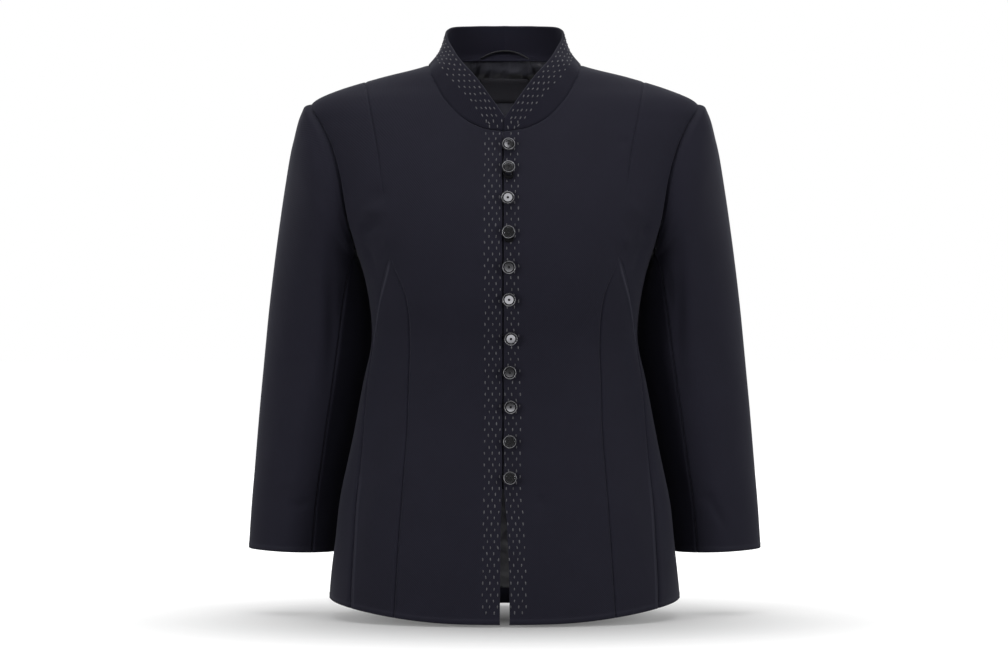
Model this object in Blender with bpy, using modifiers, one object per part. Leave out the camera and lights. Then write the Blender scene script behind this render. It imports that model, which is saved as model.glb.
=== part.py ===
"""Suit jacket with a stand collar, filled out as if worn: thin cloth panels on one torso form.

Metres, +Z up. The front faces -Y and the wearer's left is +X. The origin is the middle of the neck
base, level with the points where the shoulder seams meet the collar.
"""

import math

import bmesh
import bpy
import numpy as np
from mathutils import Matrix, Vector

# Cloth thicknesses and the gap that parts two sewn edges.
SEAM_GAP = 0.0003
BODY_CLOTH = 0.0020
SLEEVE_CLOTH = 0.0018
COLLAR_CLOTH = 0.0026
LINING_CLOTH = 0.0010
LINING_GAP = 0.0012
LABEL_GAP = 0.0012

# Heights that the panels meet at.
SHOULDER_DART_TOP = -0.0187
SHOULDER_TIP = -0.0430
BUST_POINT = -0.2126
UNDERARM = -0.2070
UNDERARM_ON_LINE = -0.2050
BUST_DART_END = -0.3180
HEM_FRONT = -0.6020
HEM_SIDE_RISE = 0.0180

# Armhole: how far it reaches ahead of and behind the side, and how far its widest level sags.
ARMHOLE_AHEAD = 0.0560
ARMHOLE_BEHIND = 0.0620
ARMHOLE_SAG = 0.0220

# Mesh divisions.
HEM_ROWS = 12
SIDE_ROWS = 3
ARM_ROWS = 9
NECK_COLUMNS = 8
SHOULDER_INNER = 2
SHOULDER_OUTER = 5
COLLAR_ROWS = 3

# Buttons and their loops.
BUTTON_RADIUS = 0.0073
BUTTON_THICK = 0.0030
BUTTON_RIM = 0.0015
BUTTON_DISH = 0.0009
BUTTON_EDGE = 0.0007
SHANK_RADIUS = 0.0016
SHANK_LIFT = 0.0006
SHANK_LENGTH = 0.0026
BUTTON_SIDES = 16
CORD_RADIUS = 0.0006
LOOP_HALF = 0.0028
LOOP_LIFT = 0.0013
LOOP_BENDS = 5
TAPE_WIDTH = 0.0110
TAPE_THICK = 0.0010
TAPE_GAP = 0.0009
TAPE_TOP = -0.0850
TAPE_BOTTOM = -0.4600
TAPE_ROWS = 24

# Inside the back neck.
LABEL_TOP = -0.0050
LABEL_BOTTOM = -0.0330
LABEL_HALF = 0.0280
LABEL_ROWS = 3
LABEL_COLUMNS = 6
LINING_HEM = 0.0190
LINING_TOP_SHARE = 0.16
LINING_SIDE_SHARE = 0.35
HANGER_RADIUS = 0.0011
HANGER_GAP = 0.0010
HANGER_SPAN = 24.0
HANGER_LOW = 0.06
HANGER_HIGH = 0.30
HANGER_STEPS = 10

STEP = 1e-4
MERGE = 1e-6
SCREW_MERGE = 1e-5
SHARP = math.radians(40)
FOOT_STEPS = 8


def table(columns, *rows):
    """A short table as named columns, sorted by its first one."""
    values = np.array(sorted(rows), float)
    return dict(zip(columns.split(), values.T))


# Level sections of the torso: half width, depths ahead and behind, and how square each half is.
TORSO = table(
    "height half_width front back front_power back_power",
    (0.0300, 0.0640, 0.0350, 0.0600, 2.0, 2.0),
    (0.0125, 0.0760, 0.0400, 0.0680, 2.0, 2.0),
    (0.0000, 0.0835, 0.0440, 0.0740, 2.0, 2.0),
    (-0.0143, 0.1367, 0.0500, 0.0810, 2.0, 2.0),
    (-0.0275, 0.1804, 0.0560, 0.0860, 2.0, 2.0),
    (-0.0385, 0.2065, 0.0620, 0.0895, 2.1, 2.1),
    (-0.0500, 0.2165, 0.0680, 0.0925, 2.2, 2.2),
    (-0.0680, 0.2150, 0.0770, 0.0970, 2.3, 2.3),
    (-0.0900, 0.2080, 0.0875, 0.1010, 2.4, 2.4),
    (-0.1300, 0.1945, 0.1045, 0.1050, 2.5, 2.4),
    (-0.1700, 0.1800, 0.1180, 0.1040, 2.6, 2.4),
    (-0.2070, 0.1625, 0.1250, 0.1000, 2.6, 2.4),
    (-0.2580, 0.1490, 0.1235, 0.0920, 2.5, 2.3),
    (-0.3000, 0.1460, 0.1145, 0.0860, 2.3, 2.2),
    (-0.3460, 0.1548, 0.1085, 0.0855, 2.3, 2.2),
    (-0.3900, 0.1630, 0.1090, 0.0910, 2.3, 2.2),
    (-0.4340, 0.1720, 0.1130, 0.0985, 2.3, 2.2),
    (-0.4780, 0.1810, 0.1170, 0.1050, 2.3, 2.2),
    (-0.5220, 0.1860, 0.1205, 0.1100, 2.3, 2.2),
    (-0.5660, 0.1910, 0.1235, 0.1135, 2.3, 2.2),
    (-0.6200, 0.1945, 0.1265, 0.1160, 2.3, 2.2),
)

# Collar, from the centre front to the centre back: its seam on the torso and its upper edge.
COLLAR = table(
    "seam_angle seam_height top_angle top_radius top_height",
    (0.0, -0.0789, 0.0, 0.0820, -0.0650),
    (18.0, -0.0738, 9.5, 0.0808, -0.0460),
    (33.4, -0.0612, 20.0, 0.0765, -0.0275),
    (45.8, -0.0434, 30.5, 0.0722, -0.0135),
    (58.0, -0.0229, 43.0, 0.0683, -0.0020),
    (66.0, -0.0108, 51.5, 0.0668, 0.0060),
    (75.0, -0.0035, 61.0, 0.0665, 0.0135),
    (90.0, 0.0000, 77.0, 0.0668, 0.0245),
    (105.0, 0.0045, 92.0, 0.0668, 0.0345),
    (120.0, 0.0078, 108.0, 0.0655, 0.0420),
    (150.0, 0.0115, 144.0, 0.0592, 0.0475),
    (180.0, 0.0125, 180.0, 0.0550, 0.0487),
)

# Front seam from the hem to the bust point, going on as the shoulder dart: distance from the centre.
FRONT_LINE = table(
    "height across",
    (-0.6020, 0.1183),
    (-0.5380, 0.1146),
    (-0.4560, 0.1089),
    (-0.4000, 0.1047),
    (-0.3500, 0.1033),
    (-0.3080, 0.1021),
    (-0.2600, 0.1056),
    (-0.2126, 0.1222),
    (-0.1454, 0.1303),
    (-0.1007, 0.1362),
    (-0.0651, 0.1434),
    (-0.0187, 0.1528),
)

SIDE_SEAM = table(
    "height angle",
    (-0.6200, 65.0),
    (-0.5746, 66.5),
    (-0.4433, 70.0),
    (-0.3180, 79.0),
    (-0.2070, 90.0),
)

# Centre edges of the two fronts: closed above, parted towards the hem.
CENTRE_EDGES = table(
    "height right left",
    (-0.6200, -0.0056, 0.0053),
    (-0.5460, -0.0048, 0.0046),
    (-0.4970, -0.0042, 0.0022),
    (-0.4550, -0.0028, -0.0008),
    (-0.4200, -0.0027, -0.0009),
    (-0.0500, -0.0027, -0.0009),
)

# Sleeve rings from the armhole to the cuff: outer and inner ends, reach ahead and behind, the sag of
# the ring between them, the share of the armhole's own outline, and the angles of the two seams.
SLEEVE = table(
    "ring outer_x outer_z inner_x inner_z front_y back_y sag armhole front_seam back_seam",
    (0, 0.2114, -0.0430, 0.1625, -0.2070, -0.0560, 0.0620, 0.0220, 1.00, 160, 240),
    (1, 0.2195, -0.0478, 0.1628, -0.2098, -0.0575, 0.0660, 0.0200, 0.72, 157, 240),
    (2, 0.2264, -0.0605, 0.1610, -0.2150, -0.0585, 0.0700, 0.0170, 0.45, 152, 240),
    (3, 0.2323, -0.0825, 0.1590, -0.2215, -0.0580, 0.0740, 0.0130, 0.22, 146, 239),
    (4, 0.2374, -0.1045, 0.1566, -0.2290, -0.0560, 0.0765, 0.0090, 0.07, 141, 239),
    (5, 0.2451, -0.1485, 0.1526, -0.2440, -0.0510, 0.0790, 0.0040, 0.00, 132, 238),
    (6, 0.2515, -0.1925, 0.1491, -0.2600, -0.0440, 0.0805, 0.0010, 0.00, 125, 238),
    (7, 0.2600, -0.2585, 0.1454, -0.2880, -0.0340, 0.0815, 0.0000, 0.00, 117, 237),
    (8, 0.2649, -0.3025, 0.1456, -0.3150, -0.0280, 0.0810, 0.0000, 0.00, 114, 237),
    (9, 0.2690, -0.3465, 0.1532, -0.3530, -0.0245, 0.0795, 0.0000, 0.00, 115, 236),
    (10, 0.2729, -0.3905, 0.1620, -0.3955, -0.0225, 0.0770, 0.0000, 0.00, 116, 236),
    (11, 0.2767, -0.4345, 0.1710, -0.4385, -0.0208, 0.0740, 0.0000, 0.00, 118, 236),
    (12, 0.2803, -0.4785, 0.1800, -0.4820, -0.0192, 0.0708, 0.0000, 0.00, 120, 236),
    (13, 0.2837, -0.5320, 0.1878, -0.5360, -0.0175, 0.0670, 0.0000, 0.00, 123, 236),
)
SLEEVE_POWER = 2.2

# Buttons down the left front: height, distance from the centre and two tilts in degrees.
BUTTONS = table(
    "number height across nod turn",
    (1, -0.0953, 0.0038, 4.0, 5.0),
    (2, -0.1204, 0.0038, -5.0, 3.0),
    (3, -0.1534, 0.0034, 1.0, -2.0),
    (4, -0.1892, 0.0042, -4.0, -3.0),
    (5, -0.2253, 0.0042, 2.0, 2.0),
    (6, -0.2590, 0.0046, 1.0, -1.0),
    (7, -0.3001, 0.0062, 3.0, 3.0),
    (8, -0.3367, 0.0050, -3.0, 2.0),
    (9, -0.3733, 0.0060, 0.0, 3.0),
    (10, -0.4108, 0.0054, -3.0, -2.0),
    (11, -0.4488, 0.0054, -2.0, 2.0),
)

MATERIALS = {
    "wool": ((0.016, 0.015, 0.022, 1.0), 0.85, 0.0),
    "satin": ((0.020, 0.020, 0.027, 1.0), 0.40, 0.0),
    "label": ((0.012, 0.011, 0.015, 1.0), 0.60, 0.0),
    "cord": ((0.006, 0.006, 0.009, 1.0), 0.60, 0.0),
    "button": ((0.020, 0.020, 0.028, 1.0), 0.22, 0.0),
}


def read(rows, name, at):
    """The smooth curve through one column of a table, against its first column."""
    knots = next(iter(rows.values()))
    values = rows[name]
    slopes = np.gradient(values, knots)
    at = np.asarray(at, float)
    i = np.clip(np.searchsorted(knots, at) - 1, 0, len(knots) - 2)
    span = knots[i + 1] - knots[i]
    t = np.clip((at - knots[i]) / span, 0.0, 1.0)
    start = values[i] + (values[i + 1] - values[i]) * t * t * (3 - 2 * t)
    bend = t * (1 - t) * ((1 - t) * slopes[i] - t * slopes[i + 1])
    return start + span * bend


def torso(angle, height):
    """Point of the torso form at an angle from the centre front and a height."""
    ahead = np.cos(angle)
    depth = np.where(ahead >= 0, read(TORSO, "front", height), read(TORSO, "back", height))
    power = np.where(
        ahead >= 0, read(TORSO, "front_power", height), read(TORSO, "back_power", height)
    )
    wide = np.abs(np.sin(angle)) / read(TORSO, "half_width", height)
    deep = np.abs(ahead) / depth
    radius = (wide**power + deep**power) ** (-1 / power)
    return np.stack([radius * np.sin(angle), -radius * ahead, height + 0 * angle], -1)


def outward(surface, u, v):
    """Unit normal of a surface of two parameters, by central differences."""
    along = surface(u + STEP, v) - surface(u - STEP, v)
    up = surface(u, v + STEP) - surface(u, v - STEP)
    normal = np.cross(along, up)
    return normal / np.linalg.norm(normal, axis=-1, keepdims=True)


def front_angle(across, height):
    """Angle of the torso point that lies a distance across from the centre, on the front half."""
    power = read(TORSO, "front_power", height)
    share = np.clip(np.abs(across) / read(TORSO, "half_width", height), 0.0, 1.0)
    ahead = read(TORSO, "front", height) * (1 - share**power) ** (1 / power)
    return np.arctan2(across, ahead)


def depth_angle(ahead, height):
    """Angle of the torso point that lies a depth ahead of the side (negative: behind it)."""
    front = ahead >= 0
    power = np.where(
        front, read(TORSO, "front_power", height), read(TORSO, "back_power", height)
    )
    depth = np.where(front, read(TORSO, "front", height), read(TORSO, "back", height))
    across = read(TORSO, "half_width", height) * (1 - (np.abs(ahead) / depth) ** power) ** (
        1 / power
    )
    return np.arctan2(across, ahead)


def hem_height(angle):
    return HEM_FRONT + HEM_SIDE_RISE * np.sin(angle) ** 4


def armhole(turn):
    """(angle, height) on the torso at a turn round the armhole: 0 top, 90 front, 180 underarm."""
    middle = (SHOULDER_TIP + UNDERARM) / 2
    half = (SHOULDER_TIP - UNDERARM) / 2
    height = middle + half * np.cos(turn) - ARMHOLE_SAG * np.sin(turn) ** 2
    reach = np.where(np.sin(turn) >= 0, ARMHOLE_AHEAD, ARMHOLE_BEHIND)
    return np.stack([depth_angle(reach * np.sin(turn), height), height], -1)


def curve(angle, height):
    """A seam as rows of (angle, height)."""
    angle, height = np.broadcast_arrays(angle, height)
    return np.stack([angle, height], -1).astype(float)


def steps(first, last, count):
    return np.linspace(first, last, count + 1)


def front_line(heights):
    return curve(front_angle(read(FRONT_LINE, "across", heights), heights), heights)


def side_seam(heights):
    return curve(np.radians(read(SIDE_SEAM, "angle", heights)), heights)


def centre_edge(heights, side):
    """Centre edge of one front, with distances measured towards that front's own side."""
    name = "left" if side > 0 else "right"
    return curve(front_angle(side * read(CENTRE_EDGES, name, heights), heights), heights)


def neck(angles):
    return curve(angles, read(COLLAR, "seam_height", np.degrees(np.abs(angles))))


def shoulder(heights):
    return curve(math.pi / 2, heights)


def joined(*curves):
    """Curves end to end, each meeting point once."""
    return np.concatenate([curves[0]] + [c[1:] for c in curves[1:]])


def patch(bottom, top, left, right):
    """Grid of (angle, height) filling four seams: sums of opposite sides less the four corners."""
    u = np.linspace(0, 1, len(bottom))[None, :, None]
    v = np.linspace(0, 1, len(left))[:, None, None]
    across = left[:, None] * (1 - u) + right[:, None] * u
    upward = bottom[None] * (1 - v) + top[None] * v
    low = bottom[0] * (1 - u) + bottom[-1] * u
    high = top[0] * (1 - u) + top[-1] * u
    return across + upward - (low * (1 - v) + high * v)


def hem_line(first, last, count):
    angles = steps(first, last, count)
    return curve(angles, hem_height(angles))


def seam_foot(angle_at):
    """Height where a seam meets the hem, by a few repeated substitutions."""
    height = HEM_FRONT
    for _ in range(FOOT_STEPS):
        height = hem_height(angle_at(height))
    return float(height)


FRONT_LINE_FOOT = seam_foot(lambda z: front_line(z)[0])
SIDE_SEAM_FOOT = seam_foot(lambda z: side_seam(z)[0])
LOW_LINE = steps(FRONT_LINE_FOOT, BUST_POINT, HEM_ROWS)
UNDER_LINE = steps(BUST_POINT, UNDERARM_ON_LINE, SIDE_ROWS)
ARM_LINE = steps(UNDERARM_ON_LINE, SHOULDER_DART_TOP, ARM_ROWS)
LOW_SIDE = steps(SIDE_SEAM_FOOT, BUST_DART_END, HEM_ROWS)
HIGH_SIDE = steps(BUST_DART_END, UNDERARM, SIDE_ROWS)
INNER_SHOULDER = steps(0.0, SHOULDER_DART_TOP, SHOULDER_INNER)
OUTER_SHOULDER = steps(SHOULDER_DART_TOP, SHOULDER_TIP, SHOULDER_OUTER)
FRONT_ARM = np.radians(steps(180, 0, ARM_ROWS))
BACK_ARM = np.radians(steps(180, 360, ARM_ROWS))


def bust_dart():
    """Dart from the bust point down to the side seam, straight in angle and height."""
    start = front_line(np.array([BUST_POINT]))[0]
    end = side_seam(np.array([BUST_DART_END]))[0]
    share = steps(0, 1, SHOULDER_OUTER)[:, None]
    return start * (1 - share) + end * share


def front_charts(side):
    """The front in three patches: below the bust, above it, and the side above the bust dart."""
    count = NECK_COLUMNS + SHOULDER_INNER
    low_edge = centre_edge(steps(hem_height(0.0), BUST_POINT, HEM_ROWS), side)
    neck_point = float(read(COLLAR, "seam_height", 0.0))
    high_edge = centre_edge(steps(BUST_POINT, neck_point, SIDE_ROWS + ARM_ROWS), side)
    low_line = front_line(LOW_LINE)
    high_line = joined(front_line(UNDER_LINE), front_line(ARM_LINE))
    bust_row = curve(steps(low_edge[-1, 0], low_line[-1, 0], count), BUST_POINT)
    hem = hem_line(low_edge[0, 0], low_line[0, 0], count)
    collar_seam = neck(steps(high_edge[-1, 0], math.pi / 2, NECK_COLUMNS))
    top = joined(collar_seam, shoulder(INNER_SHOULDER))
    side_edge = joined(side_seam(HIGH_SIDE), armhole(FRONT_ARM))
    return [
        patch(hem, bust_row, low_edge, low_line),
        patch(bust_row, top, high_edge, high_line),
        patch(bust_dart(), shoulder(OUTER_SHOULDER), high_line, side_edge),
    ]


def side_front_chart():
    low_line = front_line(LOW_LINE)
    low_side = side_seam(LOW_SIDE)
    hem = hem_line(low_line[0, 0], low_side[0, 0], SHOULDER_OUTER)
    return patch(hem, bust_dart(), low_line, low_side)


def back_chart():
    """Half of the back, from the side seam to the centre, hem to neck, in two stacked patches."""
    count = SHOULDER_OUTER + SHOULDER_INNER + NECK_COLUMNS
    low_side = joined(side_seam(LOW_SIDE), side_seam(HIGH_SIDE))
    centre_low = joined(
        curve(math.pi, steps(HEM_FRONT, BUST_DART_END, HEM_ROWS)), curve(math.pi, HIGH_SIDE)
    )
    middle = curve(steps(math.pi / 2, math.pi, count), UNDERARM)
    hem = hem_line(low_side[0, 0], math.pi, count)
    neck_point = float(read(COLLAR, "seam_height", 180.0))
    centre_high = curve(math.pi, steps(UNDERARM, neck_point, ARM_ROWS))
    top = joined(
        shoulder(OUTER_SHOULDER[::-1]),
        shoulder(INNER_SHOULDER[::-1]),
        neck(steps(math.pi / 2, math.pi, NECK_COLUMNS)),
    )
    low = patch(hem, middle, low_side, centre_low)
    high = patch(middle, top, armhole(BACK_ARM), centre_high)
    return np.concatenate([low, high[1:]])


def mirrored(half):
    """A half grid and its mirror image as one grid, meeting at its last column."""
    other = half.copy()
    other[..., 0] = 2 * math.pi - half[..., 0]
    return np.concatenate([half, other[:, ::-1][:, 1:]], axis=1)


def drawn_in(grid, bottom, top, sides):
    """A grid whose border rows and columns are moved inward by shares of a cell."""
    grid = grid.copy()
    grid[0] += (grid[1] - grid[0]) * bottom
    grid[-1] += (grid[-2] - grid[-1]) * top
    grid[:, 0] += (grid[:, 1] - grid[:, 0]) * sides
    grid[:, -1] += (grid[:, -2] - grid[:, -1]) * sides
    return grid


def on_torso(chart, side, thickness, lift=0.0):
    """Points of a chart on the torso, moved out by a lift, and the step through the cloth."""
    angle, height = chart[..., 0], chart[..., 1]
    normal = outward(torso, angle, height)
    flip = np.array([side, 1, 1])
    return (torso(angle, height) + lift * normal) * flip, -thickness * normal * flip


def collar_surface(angle, rise):
    """Point of the collar at a seam angle and a rise from its seam (0) to its upper edge (1)."""
    at = np.degrees(np.abs(angle))
    foot = torso(angle, read(COLLAR, "seam_height", at))
    turn = np.sign(angle) * np.radians(read(COLLAR, "top_angle", at))
    radius = read(COLLAR, "top_radius", at)
    top = np.stack(
        [radius * np.sin(turn), -radius * np.cos(turn), read(COLLAR, "top_height", at)], -1
    )
    rise = np.asarray(rise)[..., None]
    return foot * (1 - rise) + top * rise


def sleeve_surface(turn, ring):
    """Point of the left sleeve: an oval ring plus the fading outline of the armhole."""
    value = {name: read(SLEEVE, name, ring) for name in SLEEVE}
    round_off = np.abs(np.cos(turn)) ** SLEEVE_POWER + np.abs(np.sin(turn)) ** SLEEVE_POWER
    reach = round_off ** (-1 / SLEEVE_POWER)
    out, ahead = np.cos(turn) * reach, np.sin(turn) * reach
    start = {name: column[0] for name, column in SLEEVE.items()}

    def oval(row):
        x = (row["outer_x"] + row["inner_x"]) / 2 + (row["outer_x"] - row["inner_x"]) / 2 * out
        y_middle = (row["front_y"] + row["back_y"]) / 2
        y_half = (row["back_y"] - row["front_y"]) / 2
        z = (row["outer_z"] + row["inner_z"]) / 2 + (row["outer_z"] - row["inner_z"]) / 2 * out
        return np.stack([x, y_middle - y_half * ahead, z - row["sag"] * ahead**2], -1)

    hole = armhole(turn)
    departure = torso(hole[..., 0], hole[..., 1]) - oval(start)
    return oval(value) + value["armhole"][..., None] * departure


def sleeve_turns(first, last, rings):
    """Turns of one sleeve piece's columns: even at the armhole, then following the two seams."""
    spacing = 180.0 / ARM_ROWS
    turns = np.arange(first, last + spacing / 2, spacing)[None]
    front = read(SLEEVE, "front_seam", rings)[:, None]
    back = read(SLEEVE, "back_seam", rings)[:, None]
    front_start, back_start = SLEEVE["front_seam"][0], SLEEVE["back_seam"][0]
    ahead = turns * front / front_start
    behind = turns * (back - 360) / (back_start - 360)
    share = (turns - front_start) / (back_start - front_start)
    under = front + (back - front) * share
    upper = np.where(turns >= 0, ahead, behind)
    return np.radians(np.where(turns <= front_start, upper, under))


def sleeve_piece(first, last, side):
    rings = SLEEVE["ring"].copy()
    turn = sleeve_turns(first, last, rings)
    ring = rings[:, None] + 0 * turn
    points = sleeve_surface(turn, ring)
    lead = points[1] - points[0]
    points[0] += SEAM_GAP * lead / np.linalg.norm(lead, axis=-1, keepdims=True)
    inside = np.clip(ring, STEP, rings[-1] - STEP)
    normal = outward(sleeve_surface, turn, inside)
    flip = np.array([side, 1, 1])
    return points * flip, -SLEEVE_CLOTH * normal * flip


def draw_back(mesh, gap):
    """Moves the border of an open sheet inward by half of the seam gap."""
    moves = {}
    for vert in mesh.verts:
        pull = Vector()
        for edge in vert.link_edges:
            if edge.is_boundary:
                along = (edge.other_vert(vert).co - vert.co).normalized()
                into = edge.link_faces[0].calc_center_median() - vert.co
                pull += (into - along * into.dot(along)).normalized()
        if pull.length > 0:
            moves[vert] = pull.normalized() * gap / 2
    for vert, move in moves.items():
        vert.co += move


def make_material(name):
    colour, roughness, metallic = MATERIALS[name]
    material = bpy.data.materials.new(name)
    material.use_nodes = True
    shader = material.node_tree.nodes["Principled BSDF"]
    shader.inputs["Base Color"].default_value = colour
    shader.inputs["Roughness"].default_value = roughness
    shader.inputs["Metallic"].default_value = metallic
    material.diffuse_color = colour
    return material


def add_part(name, data, material):
    part = bpy.data.objects.new(name, data)
    part_collection.objects.link(part)
    part.parent = root
    if not data.materials:
        data.materials.append(materials[material])
    return part


def smooth_shade(mesh):
    mesh.shade_smooth()
    mesh.set_sharp_from_angle(angle=SHARP)


def cloth(name, patches, material):
    """One cloth wall: an open sheet through the patches, extruded along each point's own step."""
    mesh = bmesh.new()
    through = mesh.verts.layers.float_vector.new("through")
    for points, inward in patches:
        rows, columns = points.shape[:2]
        grid = [[mesh.verts.new(points[i, j]) for j in range(columns)] for i in range(rows)]
        for i in range(rows):
            for j in range(columns):
                grid[i][j][through] = inward[i, j]
        for i in range(rows - 1):
            for j in range(columns - 1):
                mesh.faces.new((grid[i][j], grid[i][j + 1], grid[i + 1][j + 1], grid[i + 1][j]))
    bmesh.ops.remove_doubles(mesh, verts=mesh.verts[:], dist=MERGE)
    draw_back(mesh, SEAM_GAP)
    made = bmesh.ops.extrude_face_region(mesh, geom=mesh.faces[:], use_keep_orig=True)
    for item in made["geom"]:
        if isinstance(item, bmesh.types.BMVert):
            item.co += item[through]
    bmesh.ops.recalc_face_normals(mesh, faces=mesh.faces[:])
    data = bpy.data.meshes.new(name)
    mesh.to_mesh(data)
    mesh.free()
    smooth_shade(data)
    return add_part(name, data, material)


def make_body():
    for side, word in ((-1, "right"), (1, "left")):
        fronts = [on_torso(chart, side, BODY_CLOTH) for chart in front_charts(side)]
        cloth(f"front_{word}", fronts, "wool")
        cloth(f"side_front_{word}", [on_torso(side_front_chart(), side, BODY_CLOTH)], "wool")
    cloth("back", [on_torso(mirrored(back_chart()), 1, BODY_CLOTH)], "wool")


def make_sleeves():
    back_turn, front_turn = SLEEVE["back_seam"][0], SLEEVE["front_seam"][0]
    for side, word in ((-1, "right"), (1, "left")):
        cloth(f"upper_sleeve_{word}", [sleeve_piece(back_turn - 360, front_turn, side)], "wool")
        cloth(f"under_sleeve_{word}", [sleeve_piece(front_turn, back_turn, side)], "wool")


def collar_angles():
    """Seam angles from the right centre edge round the back to the left one."""
    neck_point = float(read(COLLAR, "seam_height", 0.0))
    halves = []
    for side in (-1, 1):
        edge = centre_edge(np.array([neck_point]), side)[0, 0]
        front = steps(edge, math.pi / 2, NECK_COLUMNS)
        halves.append(np.concatenate([front, steps(math.pi / 2, math.pi, NECK_COLUMNS)[1:]]))
    return halves


def make_collar():
    patches = []
    for side, angles in zip((-1, 1), collar_angles()):
        angle, rise = np.meshgrid(angles, steps(0, 1, COLLAR_ROWS))
        normal = outward(collar_surface, angle, np.clip(rise, STEP, 1 - STEP))
        normal[:, -1] *= np.array([0, 1, 1])
        flip = np.array([side, 1, 1])
        patches.append((collar_surface(angle, rise) * flip, -COLLAR_CLOTH * normal * flip))
    cloth("collar", patches, "wool")


def make_lining():
    """Lining of the back: the back's own points, inside its wall and drawn in from its edges."""
    chart = mirrored(back_chart())
    row_height = chart[1, chart.shape[1] // 2, 1] - chart[0, chart.shape[1] // 2, 1]
    chart = drawn_in(chart, LINING_HEM / row_height, LINING_TOP_SHARE, LINING_SIDE_SHARE)
    cloth("back_lining", [on_torso(chart, 1, LINING_CLOTH, -BODY_CLOTH - LINING_GAP)], "satin")


def make_label():
    """Bare patch on the lining, below the collar seam."""
    heights = steps(LABEL_BOTTOM, LABEL_TOP, LABEL_ROWS)
    shares = steps(-1, 1, LABEL_COLUMNS)
    reach = np.arcsin(LABEL_HALF / read(TORSO, "back", heights))
    chart = curve(math.pi + reach[:, None] * shares, heights[:, None])
    lift = -BODY_CLOTH - LINING_GAP - LINING_CLOTH - LABEL_GAP
    cloth("neck_label", [on_torso(chart, 1, LINING_CLOTH, lift)], "label")


def wire(name, paths, radius, material):
    """Round cords along paths, as one mesh with closed ends."""
    line = bpy.data.curves.new(name, "CURVE")
    line.dimensions = "3D"
    line.bevel_depth = radius
    line.bevel_resolution = 1
    line.use_fill_caps = True
    for path in paths:
        spline = line.splines.new("POLY")
        spline.points.add(len(path) - 1)
        for point, place in zip(spline.points, path):
            point.co = (*place, 1.0)
    guide = bpy.data.objects.new(name + "_guide", line)
    part_collection.objects.link(guide)
    bpy.context.view_layer.update()
    data = bpy.data.meshes.new_from_object(guide.evaluated_get(bpy.context.evaluated_depsgraph_get()))
    bpy.data.objects.remove(guide)
    mesh = bmesh.new()
    mesh.from_mesh(data)
    bmesh.ops.remove_doubles(mesh, verts=mesh.verts[:], dist=MERGE)
    bmesh.ops.recalc_face_normals(mesh, faces=mesh.faces[:])
    mesh.to_mesh(data)
    mesh.free()
    data.name = name
    data.materials.clear()
    data.materials.append(materials[material])
    smooth_shade(data)
    return data


def make_hanger():
    """Narrow loop that arches up the inside of the collar at the back neck."""
    share = steps(-1, 1, HANGER_STEPS)
    angle = math.pi - np.radians(HANGER_SPAN) * np.abs(share)
    rise = HANGER_LOW + (HANGER_HIGH - HANGER_LOW) * (1 - share**2)
    depth = COLLAR_CLOTH + HANGER_GAP + HANGER_RADIUS
    path = collar_surface(angle, rise) - depth * outward(collar_surface, angle, rise)
    path[:, 0] = np.abs(path[:, 0]) * np.sign(share)
    add_part("hanger_loop", wire("hanger_loop", [path], HANGER_RADIUS, "cord"), "cord")


def button_frames():
    """Each button's seat on the left front: place, directions across, up and out."""
    frames = []
    for number, height, across, nod, turn in zip(*BUTTONS.values()):
        angle = front_angle(across, height)
        out = Vector(outward(torso, angle, height))
        across_way = Vector((1, 0, 0))
        across_way = (across_way - out * across_way.dot(out)).normalized()
        up_way = across_way.cross(out)
        if up_way.z < 0:
            up_way = -up_way
        frames.append((int(number), Vector(torso(angle, height)), across_way, up_way, out, nod, turn))
    return frames


def button_profile():
    """Half section of a button from the middle of its dish, over the rim, to the foot of its shank."""
    under = SHANK_LENGTH
    top = under + BUTTON_THICK
    rim = BUTTON_RADIUS - BUTTON_RIM
    return (
        (0.0, top - BUTTON_DISH),
        (rim - BUTTON_EDGE, top - BUTTON_DISH),
        (rim + BUTTON_EDGE / 2, top),
        (BUTTON_RADIUS - BUTTON_EDGE / 2, top - BUTTON_EDGE / 3),
        (BUTTON_RADIUS, top - BUTTON_THICK / 2),
        (BUTTON_RADIUS - BUTTON_RIM, under),
        (SHANK_RADIUS, under),
        (SHANK_RADIUS, 0.0),
        (0.0, 0.0),
    )


def make_buttons():
    data = bpy.data.meshes.new("button")
    profile = [(radius, 0.0, height) for radius, height in button_profile()]
    edges = [(i, i + 1) for i in range(len(profile) - 1)]
    data.from_pydata(profile, edges, [])
    for number, seat, across_way, up_way, out, nod, turn in button_frames():
        button = add_part(f"button_{number:02d}", data, "button")
        frame = Matrix((across_way, up_way, out)).transposed()
        tilt = Matrix.Rotation(math.radians(nod), 3, "X") @ Matrix.Rotation(math.radians(turn), 3, "Y")
        button.rotation_euler = (frame @ tilt).to_euler()
        button.location = seat + out * (SHANK_LIFT + SEAM_GAP)
        screw = button.modifiers.new("turn", "SCREW")
        screw.angle = 2 * math.pi
        screw.steps = screw.render_steps = BUTTON_SIDES
        screw.use_merge_vertices = True
        screw.merge_threshold = SCREW_MERGE
        screw.use_smooth_shade = True


def loop_path(seat, across_way, up_way, out, slit):
    """From the tape, out through the slit, round the button's shank and back."""
    inside = -(BODY_CLOTH + TAPE_GAP + TAPE_THICK / 2)
    start = slit - seat.x
    leg = [
        (start, LOOP_HALF, inside),
        (start, LOOP_HALF, 0.0),
        (start + CORD_RADIUS, LOOP_HALF, LOOP_LIFT),
    ]
    bend = [
        (LOOP_HALF * math.cos(t), LOOP_HALF * math.sin(t), LOOP_LIFT)
        for t in np.radians(steps(90, -90, LOOP_BENDS))
    ]
    path = leg + bend + [(x, -y, z) for x, y, z in reversed(leg)]
    return [seat + across_way * x + up_way * y + out * z for x, y, z in path]


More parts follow.
